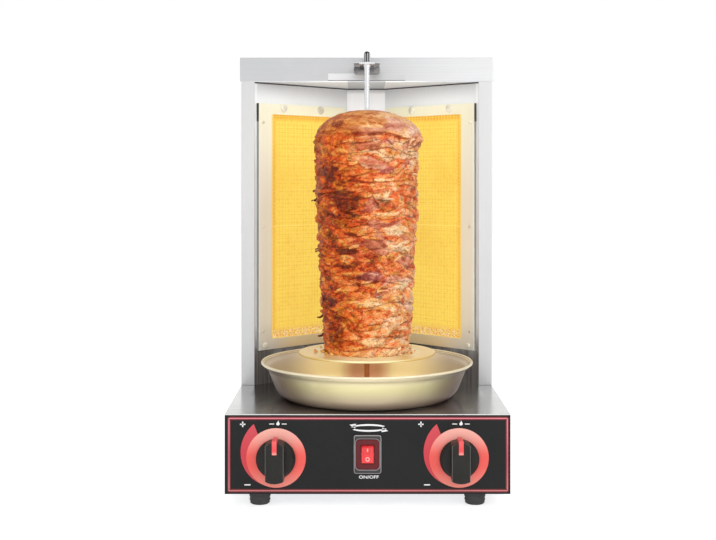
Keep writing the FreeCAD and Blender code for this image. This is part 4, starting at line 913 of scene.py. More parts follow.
class Part:
    """What every sub-assembly shares: turning bmeshes into placed, finished pieces."""

    def finish_piece(self, bm: bmesh.types.BMesh, name: str, body: str, finish: Finish | Sequence[Finish], slot: str,
                     replaces: Sequence[str] = (), sharp: float = 35.0) -> bpy.types.Object:
        """Makes a piece from a bmesh, gives it its finish and lets it ride on a body.

        Args:
            bm: The mesh, in the part's frame. It is freed.
            name: The piece's name.
            body: The body that it rides on.
            finish: Its finish, or one for each material number in its faces.
            slot: The record's material slot; not used.
            replaces: The nodes that it stands for.
            sharp: Edges over this angle stay sharp, in degrees.

        Returns:
            The piece.
        """
        mesh = bpy.data.meshes.new(name)
        bm.to_mesh(mesh)
        bm.free()
        return self.place_mesh(mesh, name, body, finish, slot, replaces, sharp)

    def place_mesh(self, mesh: bpy.types.Mesh, name: str, body: str, finish: Finish | Sequence[Finish], slot: str,
                   replaces: Sequence[str] = (), sharp: float = 35.0) -> bpy.types.Object:
        """The same for a mesh that is already made."""
        if len(mesh.materials) > 1 or isinstance(finish, Finish):
            mesh.materials.clear()
        for each in [finish] if isinstance(finish, Finish) else finish:
            mesh.materials.append(each.material())
        mesh.shade_smooth()
        mesh.set_sharp_from_angle(angle=math.radians(sharp))
        piece = bpy.data.objects.new(name, mesh)
        bpy.context.scene.collection.objects.link(piece)
        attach(piece, body)
        if replaces:
            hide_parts(*replaces)
        log.info("%s: %d vertices on %s", name, len(mesh.vertices), body)
        return piece

    @staticmethod
    def turned(profile: Sequence[tuple[float, float]], steps: int, origin: Vector = Vector((0, 0, 0)),
               axis: Vector = Vector((0, 0, 1))) -> bmesh.types.BMesh:
        """Closed body of revolution.

        Args:
            profile: Points as (radius, height) along the axis, from one end to the other.
            steps: Divisions of the turn.
            origin: A point on the axis at height 0.
            axis: The axis, upwards.

        Returns:
            The body, its normals outwards.
        """
        bm = bmesh.new()
        points = [bm.verts.new((radius, 0.0, height)) for radius, height in profile]
        edges = [bm.edges.new(pair) for pair in zip(points, points[1:])]
        bmesh.ops.spin(bm, geom=points + edges, cent=(0, 0, 0), axis=(0, 0, 1), angle=math.tau, steps=steps,
                       use_merge=True)
        bmesh.ops.remove_doubles(bm, verts=bm.verts, dist=1e-7)
        turn = Vector((0, 0, 1)).rotation_difference(axis).to_matrix().to_4x4()
        bmesh.ops.transform(bm, matrix=Matrix.Translation(origin) @ turn, verts=bm.verts)
        bmesh.ops.recalc_face_normals(bm, faces=bm.faces)
        return bm

    @staticmethod
    def block(low: Vector, high: Vector, round_by: float = 0.0, segments: int = 2) -> bmesh.types.BMesh:
        """Box between two corners with bevelled edges."""
        bm = bmesh.new()
        size = high - low
        bmesh.ops.create_cube(bm, size=1.0, matrix=Matrix.Translation((low + high) / 2) @ Matrix.Diagonal((*size, 1)))
        if round_by:
            bmesh.ops.bevel(bm, geom=bm.edges[:], offset=round_by, segments=segments, profile=0.5, affect="EDGES",
                            material=-1, clamp_overlap=True)
        return bm

    @staticmethod
    def joined(parts: Iterable[bmesh.types.BMesh]) -> bmesh.types.BMesh:
        """One bmesh from several, which are freed."""
        whole = bmesh.new()
        for part in parts:
            mesh = bpy.data.meshes.new("joining")
            part.to_mesh(mesh)
            part.free()
            whole.from_mesh(mesh)
            bpy.data.meshes.remove(mesh)
        return whole

    @staticmethod
    def merged_copy(node: str) -> bmesh.types.BMesh:
        """Copy of a node's mesh with its loose triangles merged and its flat faces whole."""
        bm = bmesh.new()
        bm.from_mesh(frame["nodes"][node].data)
        bmesh.ops.remove_doubles(bm, verts=bm.verts, dist=1e-6)
        bmesh.ops.dissolve_limit(bm, angle_limit=math.radians(0.5), verts=bm.verts, edges=bm.edges,
                                 delimit={"NORMAL"})
        return bm


@dataclass
class SheetMetal(Part):
    """Folded sheets and flat plates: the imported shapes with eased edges."""

    ease: float = 0.00035
    shortest: float = 0.006
    fold: float = 50.0

    def eased(self, node: str, body: str, finish: Finish, slot: str) -> bpy.types.Object:
        """Replaces a sheet with a copy whose long edges are rounded.

        Args:
            node: The sheet's node.
            body: The body that it is on.
            finish: Its finish.
            slot: The record's material slot; not used.

        Returns:
            The piece.
        """
        bm = self.merged_copy(node)
        edges = [e for e in bm.edges if len(e.link_faces) == 2 and e.calc_length() > self.shortest
                 and e.calc_face_angle(0.0) > math.radians(self.fold) and e.is_convex]
        bmesh.ops.bevel(bm, geom=edges, offset=self.ease, segments=2, profile=0.5, affect="EDGES", material=-1,
                        clamp_overlap=True)
        piece = self.finish_piece(bm, node + "_sheet", body, finish, slot, [node])
        smooth = piece.modifiers.new("face_normals", "WEIGHTED_NORMAL")
        smooth.keep_sharp = True
        return piece

    def build(self) -> None:
        """Eases the sheets that show."""
        for node in ("hood", "base_shell", "side_panel_left", "side_panel_right", "rear_cover", "front_panel",
                     "burner_cover_left", "burner_cover_right", "top_bracket", "spit_arm"):
            slot = "panel_black" if node == "front_panel" else "liner_steel" if "cover_" in node else "stainless"
            finish = NODE_FINISH.get(node, SLOT_FINISH[slot])
            self.eased(node, "machine", finish, slot)


@dataclass
class WovenScreens(Part):
    """Woven wire over each burner window, held by a flat frame."""

    run_start: float = 0.0215
    run_end: float = 0.1310
    low: float = 0.1492
    high: float = 0.4295
    pitch: float = 0.0048
    wire: float = 0.00045
    wave: float = 0.00042
    depth: float = -0.0026

    def wall_point(self, side: str, run: float, deep: float, height: float) -> Vector:
        """Place on a burner wall.

        Args:
            side: Left or right.
            run: Distance along the wall from its outer corner.
            deep: Distance into the wall from its face.
            height: Height over the table.

        Returns:
            The point in the part's frame.
        """
        x = -WALL_CORNER.x + run * math.cos(WALL_ANGLE) - deep * math.sin(WALL_ANGLE)
        y = WALL_CORNER.y + run * math.sin(WALL_ANGLE) + deep * math.cos(WALL_ANGLE)
        return Vector((x if side == "left" else -x, y, height))

    def screen(self, side: str) -> bpy.types.Object:
        """Wires of one screen, each one waving over and under those it crosses."""
        curve = bpy.data.curves.new("wires", "CURVE")
        curve.dimensions = "3D"
        curve.bevel_depth = self.wire
        curve.bevel_resolution = 1
        curve.use_fill_caps = True
        columns = round((self.run_end - self.run_start) / self.pitch)
        rows = round((self.high - self.low) / self.pitch)
        for column in range(columns + 1):
            run = self.run_start + column * self.pitch
            points = [(run, self.wave * (-1) ** (row + column) * (row % 1 == 0), self.low + row * self.pitch)
                      for row in range(rows + 1)]
            self.add_wire(curve, side, points)
        for row in range(rows + 1):
            height = self.low + row * self.pitch
            points = [(self.run_start + column * self.pitch, -self.wave * (-1) ** (row + column), height)
                      for column in range(columns + 1)]
            self.add_wire(curve, side, points)
        holder = bpy.data.objects.new("wires", curve)
        bpy.context.scene.collection.objects.link(holder)
        bpy.context.view_layer.update()
        mesh = bpy.data.meshes.new_from_object(holder.evaluated_get(bpy.context.evaluated_depsgraph_get()))
        bpy.data.objects.remove(holder)
        node = "mesh_screen_" + side
        return self.place_mesh(mesh, "woven_" + node, "machine", WIRE, "screen_wire", [node], 60.0)

    def add_wire(self, curve: bpy.types.Curve, side: str, points: Sequence[tuple[float, float, float]]) -> None:
        """Adds one wire through (run, wave, height) points."""
        spline = curve.splines.new("POLY")
        spline.points.add(len(points) - 1)
        for point, (run, wave, height) in zip(spline.points, points):
            point.co = (*self.wall_point(side, run, self.depth + wave, height), 1.0)

    def build(self) -> None:
        """Both screens."""
        for side in SIDES:
            self.screen(side)


@dataclass(frozen=True)
class MeatPatch:
    """A place on the front of the meat that differs from its surroundings, in millimetres from the spit and disc."""

    x: float
    z: float
    wide: float
    tall: float
    tone: float = 0.0
    char: float = 0.0
    rose: float = 0.0


@dataclass
class MeatStack(Part):
    """The stack on the spit: a displaced body, ragged flakes and crumbs."""

    base: float = 0.1513
    seed: int = 11
    segments: int = 340
    spacing: float = 0.0011
    flakes: int = 150
    crumbs: int = 104
    outline: tuple[tuple[float, float], ...] = (
        (0.0478, 0.0), (0.0492, 0.004), (0.0496, 0.014), (0.0514, 0.036), (0.0530, 0.062), (0.0550, 0.112),
        (0.0574, 0.148), (0.0581, 0.190), (0.0588, 0.220), (0.0592, 0.229), (0.0614, 0.2325), (0.0624, 0.2370),
        (0.0618, 0.2425), (0.0590, 0.2495), (0.0542, 0.2563), (0.0484, 0.2616), (0.0408, 0.2657), (0.0314, 0.2695),
        (0.0200, 0.2722), (0.0100, 0.2735), (0.0034, 0.2738))
    patches: tuple[MeatPatch, ...] = (
        MeatPatch(-25, 171, 17, 15, -0.22, 0.9), MeatPatch(-26, 155, 22, 3.5, -0.2, 1.0),
        MeatPatch(-41, 205, 11, 7, -0.2, 0.5, 0.7), MeatPatch(22, 205, 10, 4, -0.1, 0.0, 0.8),
        MeatPatch(5, 88, 15, 5.5, -0.1, 0.0, 1.0), MeatPatch(-10, 83, 3, 8, -0.3, 0.9),
        MeatPatch(-23, 116, 14, 3, -0.3, 0.8), MeatPatch(-23, 101, 13, 3, -0.3, 0.8),
        MeatPatch(-23, 108, 7, 4, 0.3), MeatPatch(-35, 20, 12, 14, -0.2, 0.6), MeatPatch(42, 80, 7, 5, 0.45),
        MeatPatch(6, 59, 16, 4, 0.35), MeatPatch(7, 16, 10, 5, 0.4), MeatPatch(9, 228, 12, 4, 0.05, 0.0, 0.3),
        MeatPatch(-34, 257, 10, 4, -0.4, 0.1), MeatPatch(29, 254, 10, 5, -0.1, 0.0, 0.8),
        MeatPatch(50, 248, 7, 9, 0.1, 0.0, 0.6), MeatPatch(-2, 240, 12, 4, -0.05, 0.0, 0.5),
        MeatPatch(24, 236, 9, 4, -0.05, 0.0, 0.6), MeatPatch(-3, 262, 7, 5, 0.0), MeatPatch(30, 140, 14, 5, 0.3),
        MeatPatch(33, 118, 16, 4, 0.3), MeatPatch(-40, 60, 12, 4, -0.2, 0.5), MeatPatch(-12, 134, 12, 3, -0.2, 0.4))

    def profile(self) -> list[tuple[float, float]]:
        """Outline sampled at even steps, with the flat foot closed to the rod."""
        points = [Vector((r, 0, z)) for r, z in self.outline]
        lengths = [0.0]
        for a, b in zip(points, points[1:]):
            lengths.append(lengths[-1] + (b - a).length)
        count = round(lengths[-1] / self.spacing)
        samples: list[tuple[float, float]] = []
        for i in range(count + 1):
            at = lengths[-1] * i / count
            k = max(j for j in range(len(lengths)) if lengths[j] <= at + 1e-9)
            k = min(k, len(points) - 2)
            p = points[k].lerp(points[k + 1], (at - lengths[k]) / (lengths[k + 1] - lengths[k]))
            samples.append((p.x, p.z))
        return [(0.0034, 0.0), (0.030, 0.0)] + samples

    @staticmethod
    def chance(point: Vector, salt: float = 0.0) -> float:
        """Even chance, 0 to 1, that is fixed for a point."""
        return math.sin(point.x * 12.9898 + point.y * 78.233 + point.z * 37.719 + salt) * 43758.5453 % 1.0

    def ledge(self, x: float, y: float, z: float) -> tuple[float, float]:
        """The slanting ledge under the cap: how far it stands out, and how deep the shade under it is."""
        angle = math.atan2(y, x)
        level = 0.2375 + 0.0095 * smoothstep(0.55, 1.30, abs(angle)) + 0.0009 * noise.noise(Vector((x * 90, y * 90, 0)))
        there = 1.0 - smoothstep(1.95, 2.20, abs(angle))
        over = z - level
        stand = 0.0016 * smoothstep(-0.0005, 0.0006, over) * (1.0 - smoothstep(0.0010, 0.0060, over))
        shade = smoothstep(-0.0060, -0.0010, over) * (1.0 - smoothstep(-0.0004, 0.0004, over))
        return (stand - 0.0009 * shade) * there, shade * there

    def relief(self, x: float, y: float, z: float) -> dict[str, float]:
        """Shape and colour of the meat at a place.

        Args:
            x: Across the spit, from its axis.
            y: To the back, from its axis.
            z: Over the disc.

        Returns:
            The outward move, and the tone, depth, char, rose and tan shares, each 0 to 1.
        """
        warp = Vector([noise.noise(Vector((x * 30 + k * 7.1, y * 30, z * 42 - k * 3.3))) for k in range(3)])
        near, points = noise.voronoi(Vector((x * 42, y * 42, z * 104)) + warp * 1.2)
        fine, fine_points = noise.voronoi(Vector((x * 150, y * 150, z * 260)) + warp * 2.6)
        strand = noise.noise(Vector((x * 38, y * 38, z * 215)) + warp * 2.4)
        strand = 1.0 - smoothstep(0.0, 0.10, abs(strand))
        curl = noise.noise(Vector((x * 105 + 5.0, y * 105, z * 190)) + warp * 3.0)
        worm = 1.0 - smoothstep(0.0, 0.13, abs(curl))
        pale = noise.noise(Vector((x * 150, y * 150 - 9.0, z * 270)) + warp * 3.4)
        sag = z / 0.0112 + 0.9 * noise.noise(Vector((x * 20, y * 20, z * 14 + 6.0))) + 0.22 * warp.y
        crease = abs(sag - round(sag))
        crease = (1.0 - smoothstep(0.02, 0.15, crease)) * smoothstep(-0.25, 0.25, noise.noise(Vector((x * 24, y * 24, z * 60 - 2.0))))
        cell, fine_cell = self.chance(points[0]), self.chance(fine_points[0])
        edge, fine_edge = near[1] - near[0], fine[1] - fine[0]
        level = abs((points[1] - points[0]).normalized().z)
        pillow = smoothstep(0.0, 0.45, edge)
        fine_pillow = smoothstep(0.0, 0.5, fine_edge)
        lump = noise.fractal(Vector((x * 85, y * 85, z * 180)), 0.9, 2.1, 3)
        crumb = noise.noise(Vector((x * 360, y * 360, z * 520)))
        cap = smoothstep(0.240, 0.252, z)
        stand, shade = self.ledge(x, y, z)
        rough = 1.0 - 0.72 * cap
        move = (0.0022 * (pillow - 0.72) + 0.0013 * (2 * cell - 1) * pillow + 0.0007 * (fine_pillow - 0.6)
                + 0.0007 * lump + 0.00035 * crumb - 0.0006 * strand - 0.0004 * worm - 0.0010 * crease
                + 0.0005 * (0.5 - (sag - math.floor(sag)))) * rough + stand
        share = 0.51 + (0.16 * (2 * cell - 1) + 0.13 * (2 * fine_cell - 1)) * (1 - 0.45 * cap) + 0.22 * lump
        share += (0.27 * pale + 0.14 * curl) * (1 - 0.5 * cap)
        share += 0.30 * smoothstep(0.010, 0.002, z)
        # Painted light and shade by place: lighter to the right and low on the right, darker to the left.
        share += 0.15 * smoothstep(0.085, 0.03, z) * smoothstep(-0.03, 0.015, x)
        share += 0.18 * smoothstep(-0.012, 0.044, x) - 0.15 * smoothstep(0.004, -0.046, x) - 0.22 * shade
        # Painted light in the band under the cap, against its shade.
        share += 0.13 * smoothstep(0.208, 0.222, z) * smoothstep(0.246, 0.236, z)
        line = (1.0 - smoothstep(0.0, 0.11, edge)) * (0.25 + 0.75 * level)
        fine_line = (1.0 - smoothstep(0.0, 0.16, fine_edge)) * 0.40
        depth = 1.0 - max(line, fine_line, 0.55 * strand, 0.66 * worm, 0.70 * crease) * (1 - 0.6 * cap) - 0.32 * shade
        patch = noise.noise(Vector((x * 36 - 4.0, y * 36, z * 62)))
        # More char towards the left and a dark left edge: painted shade carried in the char share.
        lean = 0.12 * smoothstep(0.01, -0.05, x)
        char = smoothstep(0.42 - lean, 0.70 - lean, patch) * (1.0 - cap) * 0.8
        char = max(char, 0.50 * smoothstep(-0.0475, -0.0545, x) * smoothstep(0.030, -0.010, y) * (1 - cap) * smoothstep(0.3, 0.6, cell + 0.35 * lump))
        rose = smoothstep(0.84, 0.88, self.chance(points[0], 1.7)) * 0.65 * smoothstep(-0.032, 0.0, x)
        if y < 0.0:
            for spot in self.patches:
                away = math.hypot((x / MM - spot.x) / spot.wide, (z / MM - spot.z) / spot.tall)
                here = 1.0 - smoothstep(0.65, 1.15, away + 0.45 * warp.x + 0.25 * lump)
                if here:
                    share += here * spot.tone
                    char = max(char, here * spot.char * (0.55 + 0.45 * fine_cell))
                    rose = max(rose, here * spot.rose)
        return {"move": move, "tone": min(max(share, 0.0), 1.0), "depth": depth, "char": char, "rose": rose,
                "tan": cap * 0.9}

    def body(self) -> bpy.types.Object:
        """The stack itself."""
        bm = self.turned(self.profile(), self.segments)
        layers = {key: bm.verts.layers.float.new("meat_" + key) for key in ("tone", "depth", "char", "rose", "tan")}
        for vert in bm.verts:
            x, y, z = vert.co
            radius = math.hypot(x, y)
            found = self.relief(x, y, z)
            for key, layer in layers.items():
                vert[layer] = found[key]
            if radius > 0.006 and z > 0.0005:
                lift = smoothstep(0.252, 0.268, z)
                out = Vector((x / radius * (1 - lift), y / radius * (1 - lift), lift))
                vert.co += out * found["move"] * smoothstep(0.0, 0.006, z)
                vert.co.x += 0.0016 * smoothstep(0.225, 0.240, z) * (1 - smoothstep(0.262, 0.272, z))
        bmesh.ops.translate(bm, verts=bm.verts, vec=SPIT + Vector((0, 0, self.base)))
        return self.finish_piece(bm, "meat_body", "spit", MEAT, "meat", ["meat_stack"], 180.0)

    def radius_at(self, height: float) -> float:
        """Outline's radius at a height over the disc."""
        for (r0, z0), (r1, z1) in zip(self.outline, self.outline[1:]):
            if z0 <= height <= z1:
                return r0 + (r1 - r0) * (height - z0) / max(z1 - z0, 1e-9)
        return self.outline[0][0]

    def flake(self, rng: random.Random, angle: float, height: float, wide: float, tall: float, peel: float,
              shift: float, char: float) -> bmesh.types.BMesh:
        """A ragged strip that lies on the stack with one edge peeling off.

        Args:
            rng: Source of chance.
            angle: Where it is round the stack.
            height: Where it is over the disc.
            wide: Its width round the stack.
            tall: Its height.
            peel: How far its lower edge stands off.
            shift: How much its tone differs from the meat behind it.
            char: Its least charred share.

        Returns:
            The strip.
        """
        bm = bmesh.new()
        bmesh.ops.create_grid(bm, x_segments=5, y_segments=2, size=0.5)
        tilt = rng.uniform(-0.25, 0.25)
        bow = rng.uniform(-0.4, 0.4)
        reach = self.radius_at(height)
        found = self.relief(reach * math.cos(angle), reach * math.sin(angle), height)
        for vert in bm.verts:
            u, v = vert.co.x, vert.co.y
            ragged = 1.0 + 0.35 * rng.uniform(-1, 1)
            z = height + tall * v * ragged * (1.0 - 1.3 * u * u) + wide * u * tilt + bow * wide * u * u
            z = min(max(z, 0.002), 0.262)
            turn = angle + wide * u / 0.056
            stand = 0.0002 + peel * (0.5 - v) ** 2 * (1 - 2.6 * u * u) + 0.0003 * rng.uniform(-1, 1)
            radius = self.radius_at(z) + stand
            vert.co = Vector((radius * math.cos(turn), radius * math.sin(turn), z))
        bmesh.ops.recalc_face_normals(bm, faces=bm.faces)
        middle = Vector((math.cos(angle), math.sin(angle), 0))
        if bm.faces[:][0].normal.dot(middle) < 0:
            bmesh.ops.reverse_faces(bm, faces=bm.faces)
        bmesh.ops.solidify(bm, geom=bm.faces[:], thickness=rng.uniform(0.0006, 0.0011))
        values = {"tone": found["tone"] + shift, "depth": 0.95, "char": max(found["char"], char),
                  "rose": found["rose"], "tan": found["tan"]}
        for key, value in values.items():
            layer = bm.verts.layers.float.new("meat_" + key)
            for vert in bm.verts:
                vert[layer] = value + (0.05 * rng.uniform(-1, 1) if key == "tone" else 0.0)
        return bm

    def loose(self) -> bpy.types.Object:
        """Flakes all round, charred bits that stand out on the left, and crumbs on the disc."""
        rng = random.Random(self.seed)
        parts = []
        for _ in range(self.flakes):
            parts.append(self.flake(rng, rng.uniform(0, math.tau), rng.uniform(0.004, 0.232), rng.uniform(0.005, 0.016),
                                    rng.uniform(0.0012, 0.0036), rng.uniform(0.0002, 0.0013), rng.uniform(-0.16, 0.26),
                                    0.0))
        for height in (0.1845, 0.1725, 0.1160, 0.0400, 0.0180):
            for _ in range(2):
                angle = math.pi + rng.uniform(-0.25, 0.12)
                parts.append(self.flake(rng, angle, height + rng.uniform(-0.002, 0.002), rng.uniform(0.004, 0.008),
                                        rng.uniform(0.0025, 0.0045), rng.uniform(0.004, 0.007), -0.3, 1.0))
        parts += [self.crumb(rng) for _ in range(self.crumbs)]
        bm = self.joined(parts)
        bmesh.ops.translate(bm, verts=bm.verts, vec=SPIT + Vector((0, 0, self.base)))
        return self.finish_piece(bm, "meat_flakes", "spit", MEAT, "meat", (), 60.0)

    def crumb(self, rng: random.Random) -> bmesh.types.BMesh:
        """A crumb lying on the disc beside the meat."""
        bm = bmesh.new()
        size = rng.uniform(0.0007, 0.0020)
        bmesh.ops.create_icosphere(bm, subdivisions=1, radius=size)
        angle = rng.uniform(0, math.tau)
        away = rng.uniform(0.0480, 0.0525) if rng.random() < 0.85 else rng.uniform(0.0525, 0.062)
        for vert in bm.verts:
            vert.co *= 1 + rng.uniform(-0.3, 0.3)
            vert.co.z *= 0.6
            vert.co += Vector((away * math.cos(angle), away * math.sin(angle), size * 0.45))
        for key, value in (("tone", rng.uniform(0.75, 1.2)), ("depth", 0.95), ("char", 0.0), ("rose", 0.0), ("tan", 0.0)):
            layer = bm.verts.layers.float.new("meat_" + key)
            for vert in bm.verts:
                vert[layer] = value
        return bm

    def build(self) -> None:
        """Body, flakes and crumbs."""
        self.body()
        self.loose()


@dataclass
class DripPan(Part):
    """Spun pan: a round foot, a straight flared wall, a bowed lip with a rolled bead, and a neck round the drive."""

    floor_r: float = 0.0853
    low: float = 0.1000
    wall_r: float = 0.1125
    wall_h: float = 0.0330
    lean: float = math.radians(21)
    rim_r: float = 0.1200
    tall: float = 0.0410
    bead_r: float = 0.0014
    bow: float = 0.0008
    sheet: float = 0.0012
    neck_r: float = 0.0130
    neck_h: float = 0.0150

    def outside(self) -> list[Vector]:
        """Outer side from the floor's edge to the bead's centre, as (radius, height over the floor)."""
        up = Vector((math.sin(self.lean), math.cos(self.lean)))
        corner_x = self.wall_r - self.wall_h * math.tan(self.lean)
        reach = corner_x - self.floor_r
        round_r = reach / math.tan((math.radians(90) - self.lean) / 2)
        middle = Vector((self.floor_r, round_r))
        foot = [middle + round_r * Vector((math.sin(a), -math.cos(a)))
                for a in (k / 12 * (math.radians(90) - self.lean) for k in range(13))]
        top = Vector((self.wall_r, self.wall_h))
        wall = [foot[-1].lerp(top, k / 6) for k in range(1, 7)]
        bead = Vector((self.rim_r - self.bead_r, self.tall - self.bead_r))
        run = (bead - top).normalized()
        lip = [top.lerp(bead, t) + Vector((run.y, -run.x)) * self.bow * 4 * t * (1 - t) for t in (k / 6 for k in range(1, 7))]
        return foot + wall + lip

    def build(self) -> None:
        """Spins one closed profile: outside up, round the bead, inside down and over the neck."""
        outer = self.outside()
        inner = []
        for k, point in enumerate(outer):
            run = (outer[min(k + 1, len(outer) - 1)] - outer[max(k - 1, 0)]).normalized()
            inner.append(point + Vector((-run.y, run.x)) * self.sheet)
        inner[0] = outer[0] + Vector((0, self.sheet))
        middle = outer[-1]
        ends = []
        for line in (outer, inner):
            away = next(p for p in reversed(line) if (p - middle).length > self.bead_r * 1.05)
            ends.append(math.atan2(away.y - middle.y, away.x - middle.x) % math.tau)
        start, stop = ends[0] - math.tau, ends[1]
        bead = [middle + self.bead_r * Vector((math.cos(a), math.sin(a)))
                for a in (start + (stop - start) * k / 22 for k in range(23))]
        clear = [p for p in outer if (p - middle).length > self.bead_r * 1.05]
        clear_in = [p for p in inner if (p - middle).length > self.bead_r * 1.05]
        neck, top = self.neck_r + self.sheet, self.neck_h
        floor = [(0.02 + (self.floor_r - 0.02) * k / 6, 0.0) for k in range(6)]
        profile = [(self.neck_r, 0.0)] + floor + [(p.x, p.y) for p in clear + bead + clear_in[::-1]]
        profile += [(r, self.sheet) for r, _ in floor[::-1]]
        profile += [(neck + 0.0012, self.sheet), (neck + 0.0004, self.sheet + 0.0003), (neck, self.sheet + 0.0012),
                    (neck, top - 0.0003), (neck - 0.0003, top), (self.neck_r + 0.0003, top),
                    (self.neck_r, top - 0.0003), (self.neck_r, 0.0)]
        bm = self.turned(profile, 180, SPIT + Vector((0, 0, self.low)))
        for face in bm.faces:
            if face.normal.z > 0.05 and face.calc_center_median().z < self.low + self.tall - 2 * self.bead_r:
                face.material_index = 1
        self.finish_piece(bm, "pan_spun", "pan", (PAN, PAN_INSIDE), "pan_metal", ["drip_pan"], 40.0)


@dataclass
class Knobs(Part):
    """The two gas knobs: a domed skirt, a straight grip bar with rounded edges and a pointer let into its face."""

    grip: float = 0.0190
    skirt: float = 0.0035
    dome: float = 0.0030
    dome_r: float = 0.0170
    round_by: float = 0.0020

    def bar(self, radius: float, tall: float) -> bmesh.types.BMesh:
        """Grip bar: a short cylinder cut flat on two sides, its front edges rounded and given a painted highlight.

        Args:
            radius: The cylinder's radius.
            tall: Its length.

        Returns:
            The bar along z, its front at the top.
        """
        bm = bmesh.new()
        bmesh.ops.create_cone(bm, cap_ends=True, segments=96, radius1=radius, radius2=radius, depth=tall,
                              matrix=Matrix.Translation((0, 0, tall / 2)))
        for sign in (-1, 1):
            bmesh.ops.bisect_plane(bm, geom=bm.verts[:] + bm.edges[:] + bm.faces[:], clear_outer=True,
                                   plane_co=(sign * self.grip / 2, 0, 0), plane_no=(sign, 0, 0))
            bmesh.ops.contextual_create(bm, geom=[e for e in bm.edges if e.is_boundary])
        bmesh.ops.recalc_face_normals(bm, faces=bm.faces)
        rim = [e for e in bm.edges if e.calc_face_angle(0.0) > math.radians(30)
               and min(v.co.z for v in e.verts) > tall - 1e-6]
        done = bmesh.ops.bevel(bm, geom=rim, offset=self.round_by, segments=5, profile=0.5, affect="EDGES",
                               material=-1, clamp_overlap=True)
        # Painted highlight on the rounded front edges.
        for face in done["faces"]:
            if abs(face.normal.x) > 0.25 and face.normal.z > 0.25:
                face.material_index = 1
        upright = [e for e in bm.edges if e.calc_face_angle(0.0) > math.radians(30)
                   and max(v.co.z for v in e.verts) < tall - self.round_by + 1e-6 and min(v.co.z for v in e.verts) < 1e-6
                   and max(v.co.z for v in e.verts) > tall / 2]
        bmesh.ops.bevel(bm, geom=upright, offset=0.0006, segments=3, profile=0.5, affect="EDGES", material=-1,
                        clamp_overlap=True)
        return bm

    def knob(self, side: str) -> None:
        """One knob and its pointer."""
        low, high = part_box("knob_" + side)
        centre = Vector(((low.x + high.x) / 2, high.y, (low.z + high.z) / 2))
        radius = (high.z - low.z) / 2
        body = "knob_" + side
        skirt = self.turned([(0.0, 0.0), (radius - 0.0008, 0.0), (radius, 0.0006), (radius, self.skirt - 0.0008),
                             (radius - 0.0004, self.skirt), (self.dome_r + 0.0006, self.skirt + self.dome - 0.0002),
                             (self.dome_r - 0.0012, self.skirt + self.dome), (0.0, self.skirt + self.dome)],
                            96, centre, Vector((0, -1, 0)))
        grip = self.bar(radius, high.y - low.y)
        turn = Vector((0, 0, 1)).rotation_difference(Vector((0, -1, 0))).to_matrix().to_4x4()
        bmesh.ops.transform(grip, matrix=Matrix.Translation(centre) @ turn, verts=grip.verts)
        bm = self.joined([skirt, grip])
        self.finish_piece(bm, "grip_" + side, body, (KNOB, EDGE_HIGHLIGHT), "knob_black", ["knob_" + side], 30.0)
        insert = self.merged_copy("knob_pointer_" + side)
        sharp = [e for e in insert.edges if len(e.link_faces) == 2 and e.is_convex]
        bmesh.ops.bevel(insert, geom=sharp, offset=0.0005, segments=3, profile=0.5, affect="EDGES", material=-1,
                        clamp_overlap=True)
        self.finish_piece(insert, "pointer_" + side, body, POINTER, "pointer_red", ["knob_pointer_" + side])

    def build(self) -> None:
        """Both knobs."""
        for side in SIDES:
            self.knob(side)


@dataclass
class SwitchFrame(Part):
    """The switch's frame and bezel with rounded edges; the frame's rounded edges carry a painted highlight."""

    round_by: float = 0.0009

    def build(self) -> None:
        """Rounds the front edges of both; on the frame the rounded faces get the painted highlight."""
        for node, finishes, slot, reach in (("switch_frame", (SWITCH, FRAME_HIGHLIGHT), "switch_black", 1.0),
                                            ("switch_bezel", (BEZEL, BEZEL), "bezel_red", 0.6)):
            bm = self.merged_copy(node)
            front = min(v.co.y for v in bm.verts)
            rim = [e for e in bm.edges if len(e.link_faces) == 2 and e.is_convex
                   and e.calc_face_angle(0.0) > math.radians(50) and max(v.co.y for v in e.verts) < front + 1e-5]
            done = bmesh.ops.bevel(bm, geom=rim, offset=self.round_by * reach, segments=3, profile=0.5,
                                   affect="EDGES", material=-1, clamp_overlap=True)
            # Rounded faces take the second finish: the painted highlight on the frame, the same red on the bezel.
            for face in done["faces"]:
                face.material_index = 1
            self.finish_piece(bm, node + "_moulded", "machine", finishes, slot, [node], 30.0)


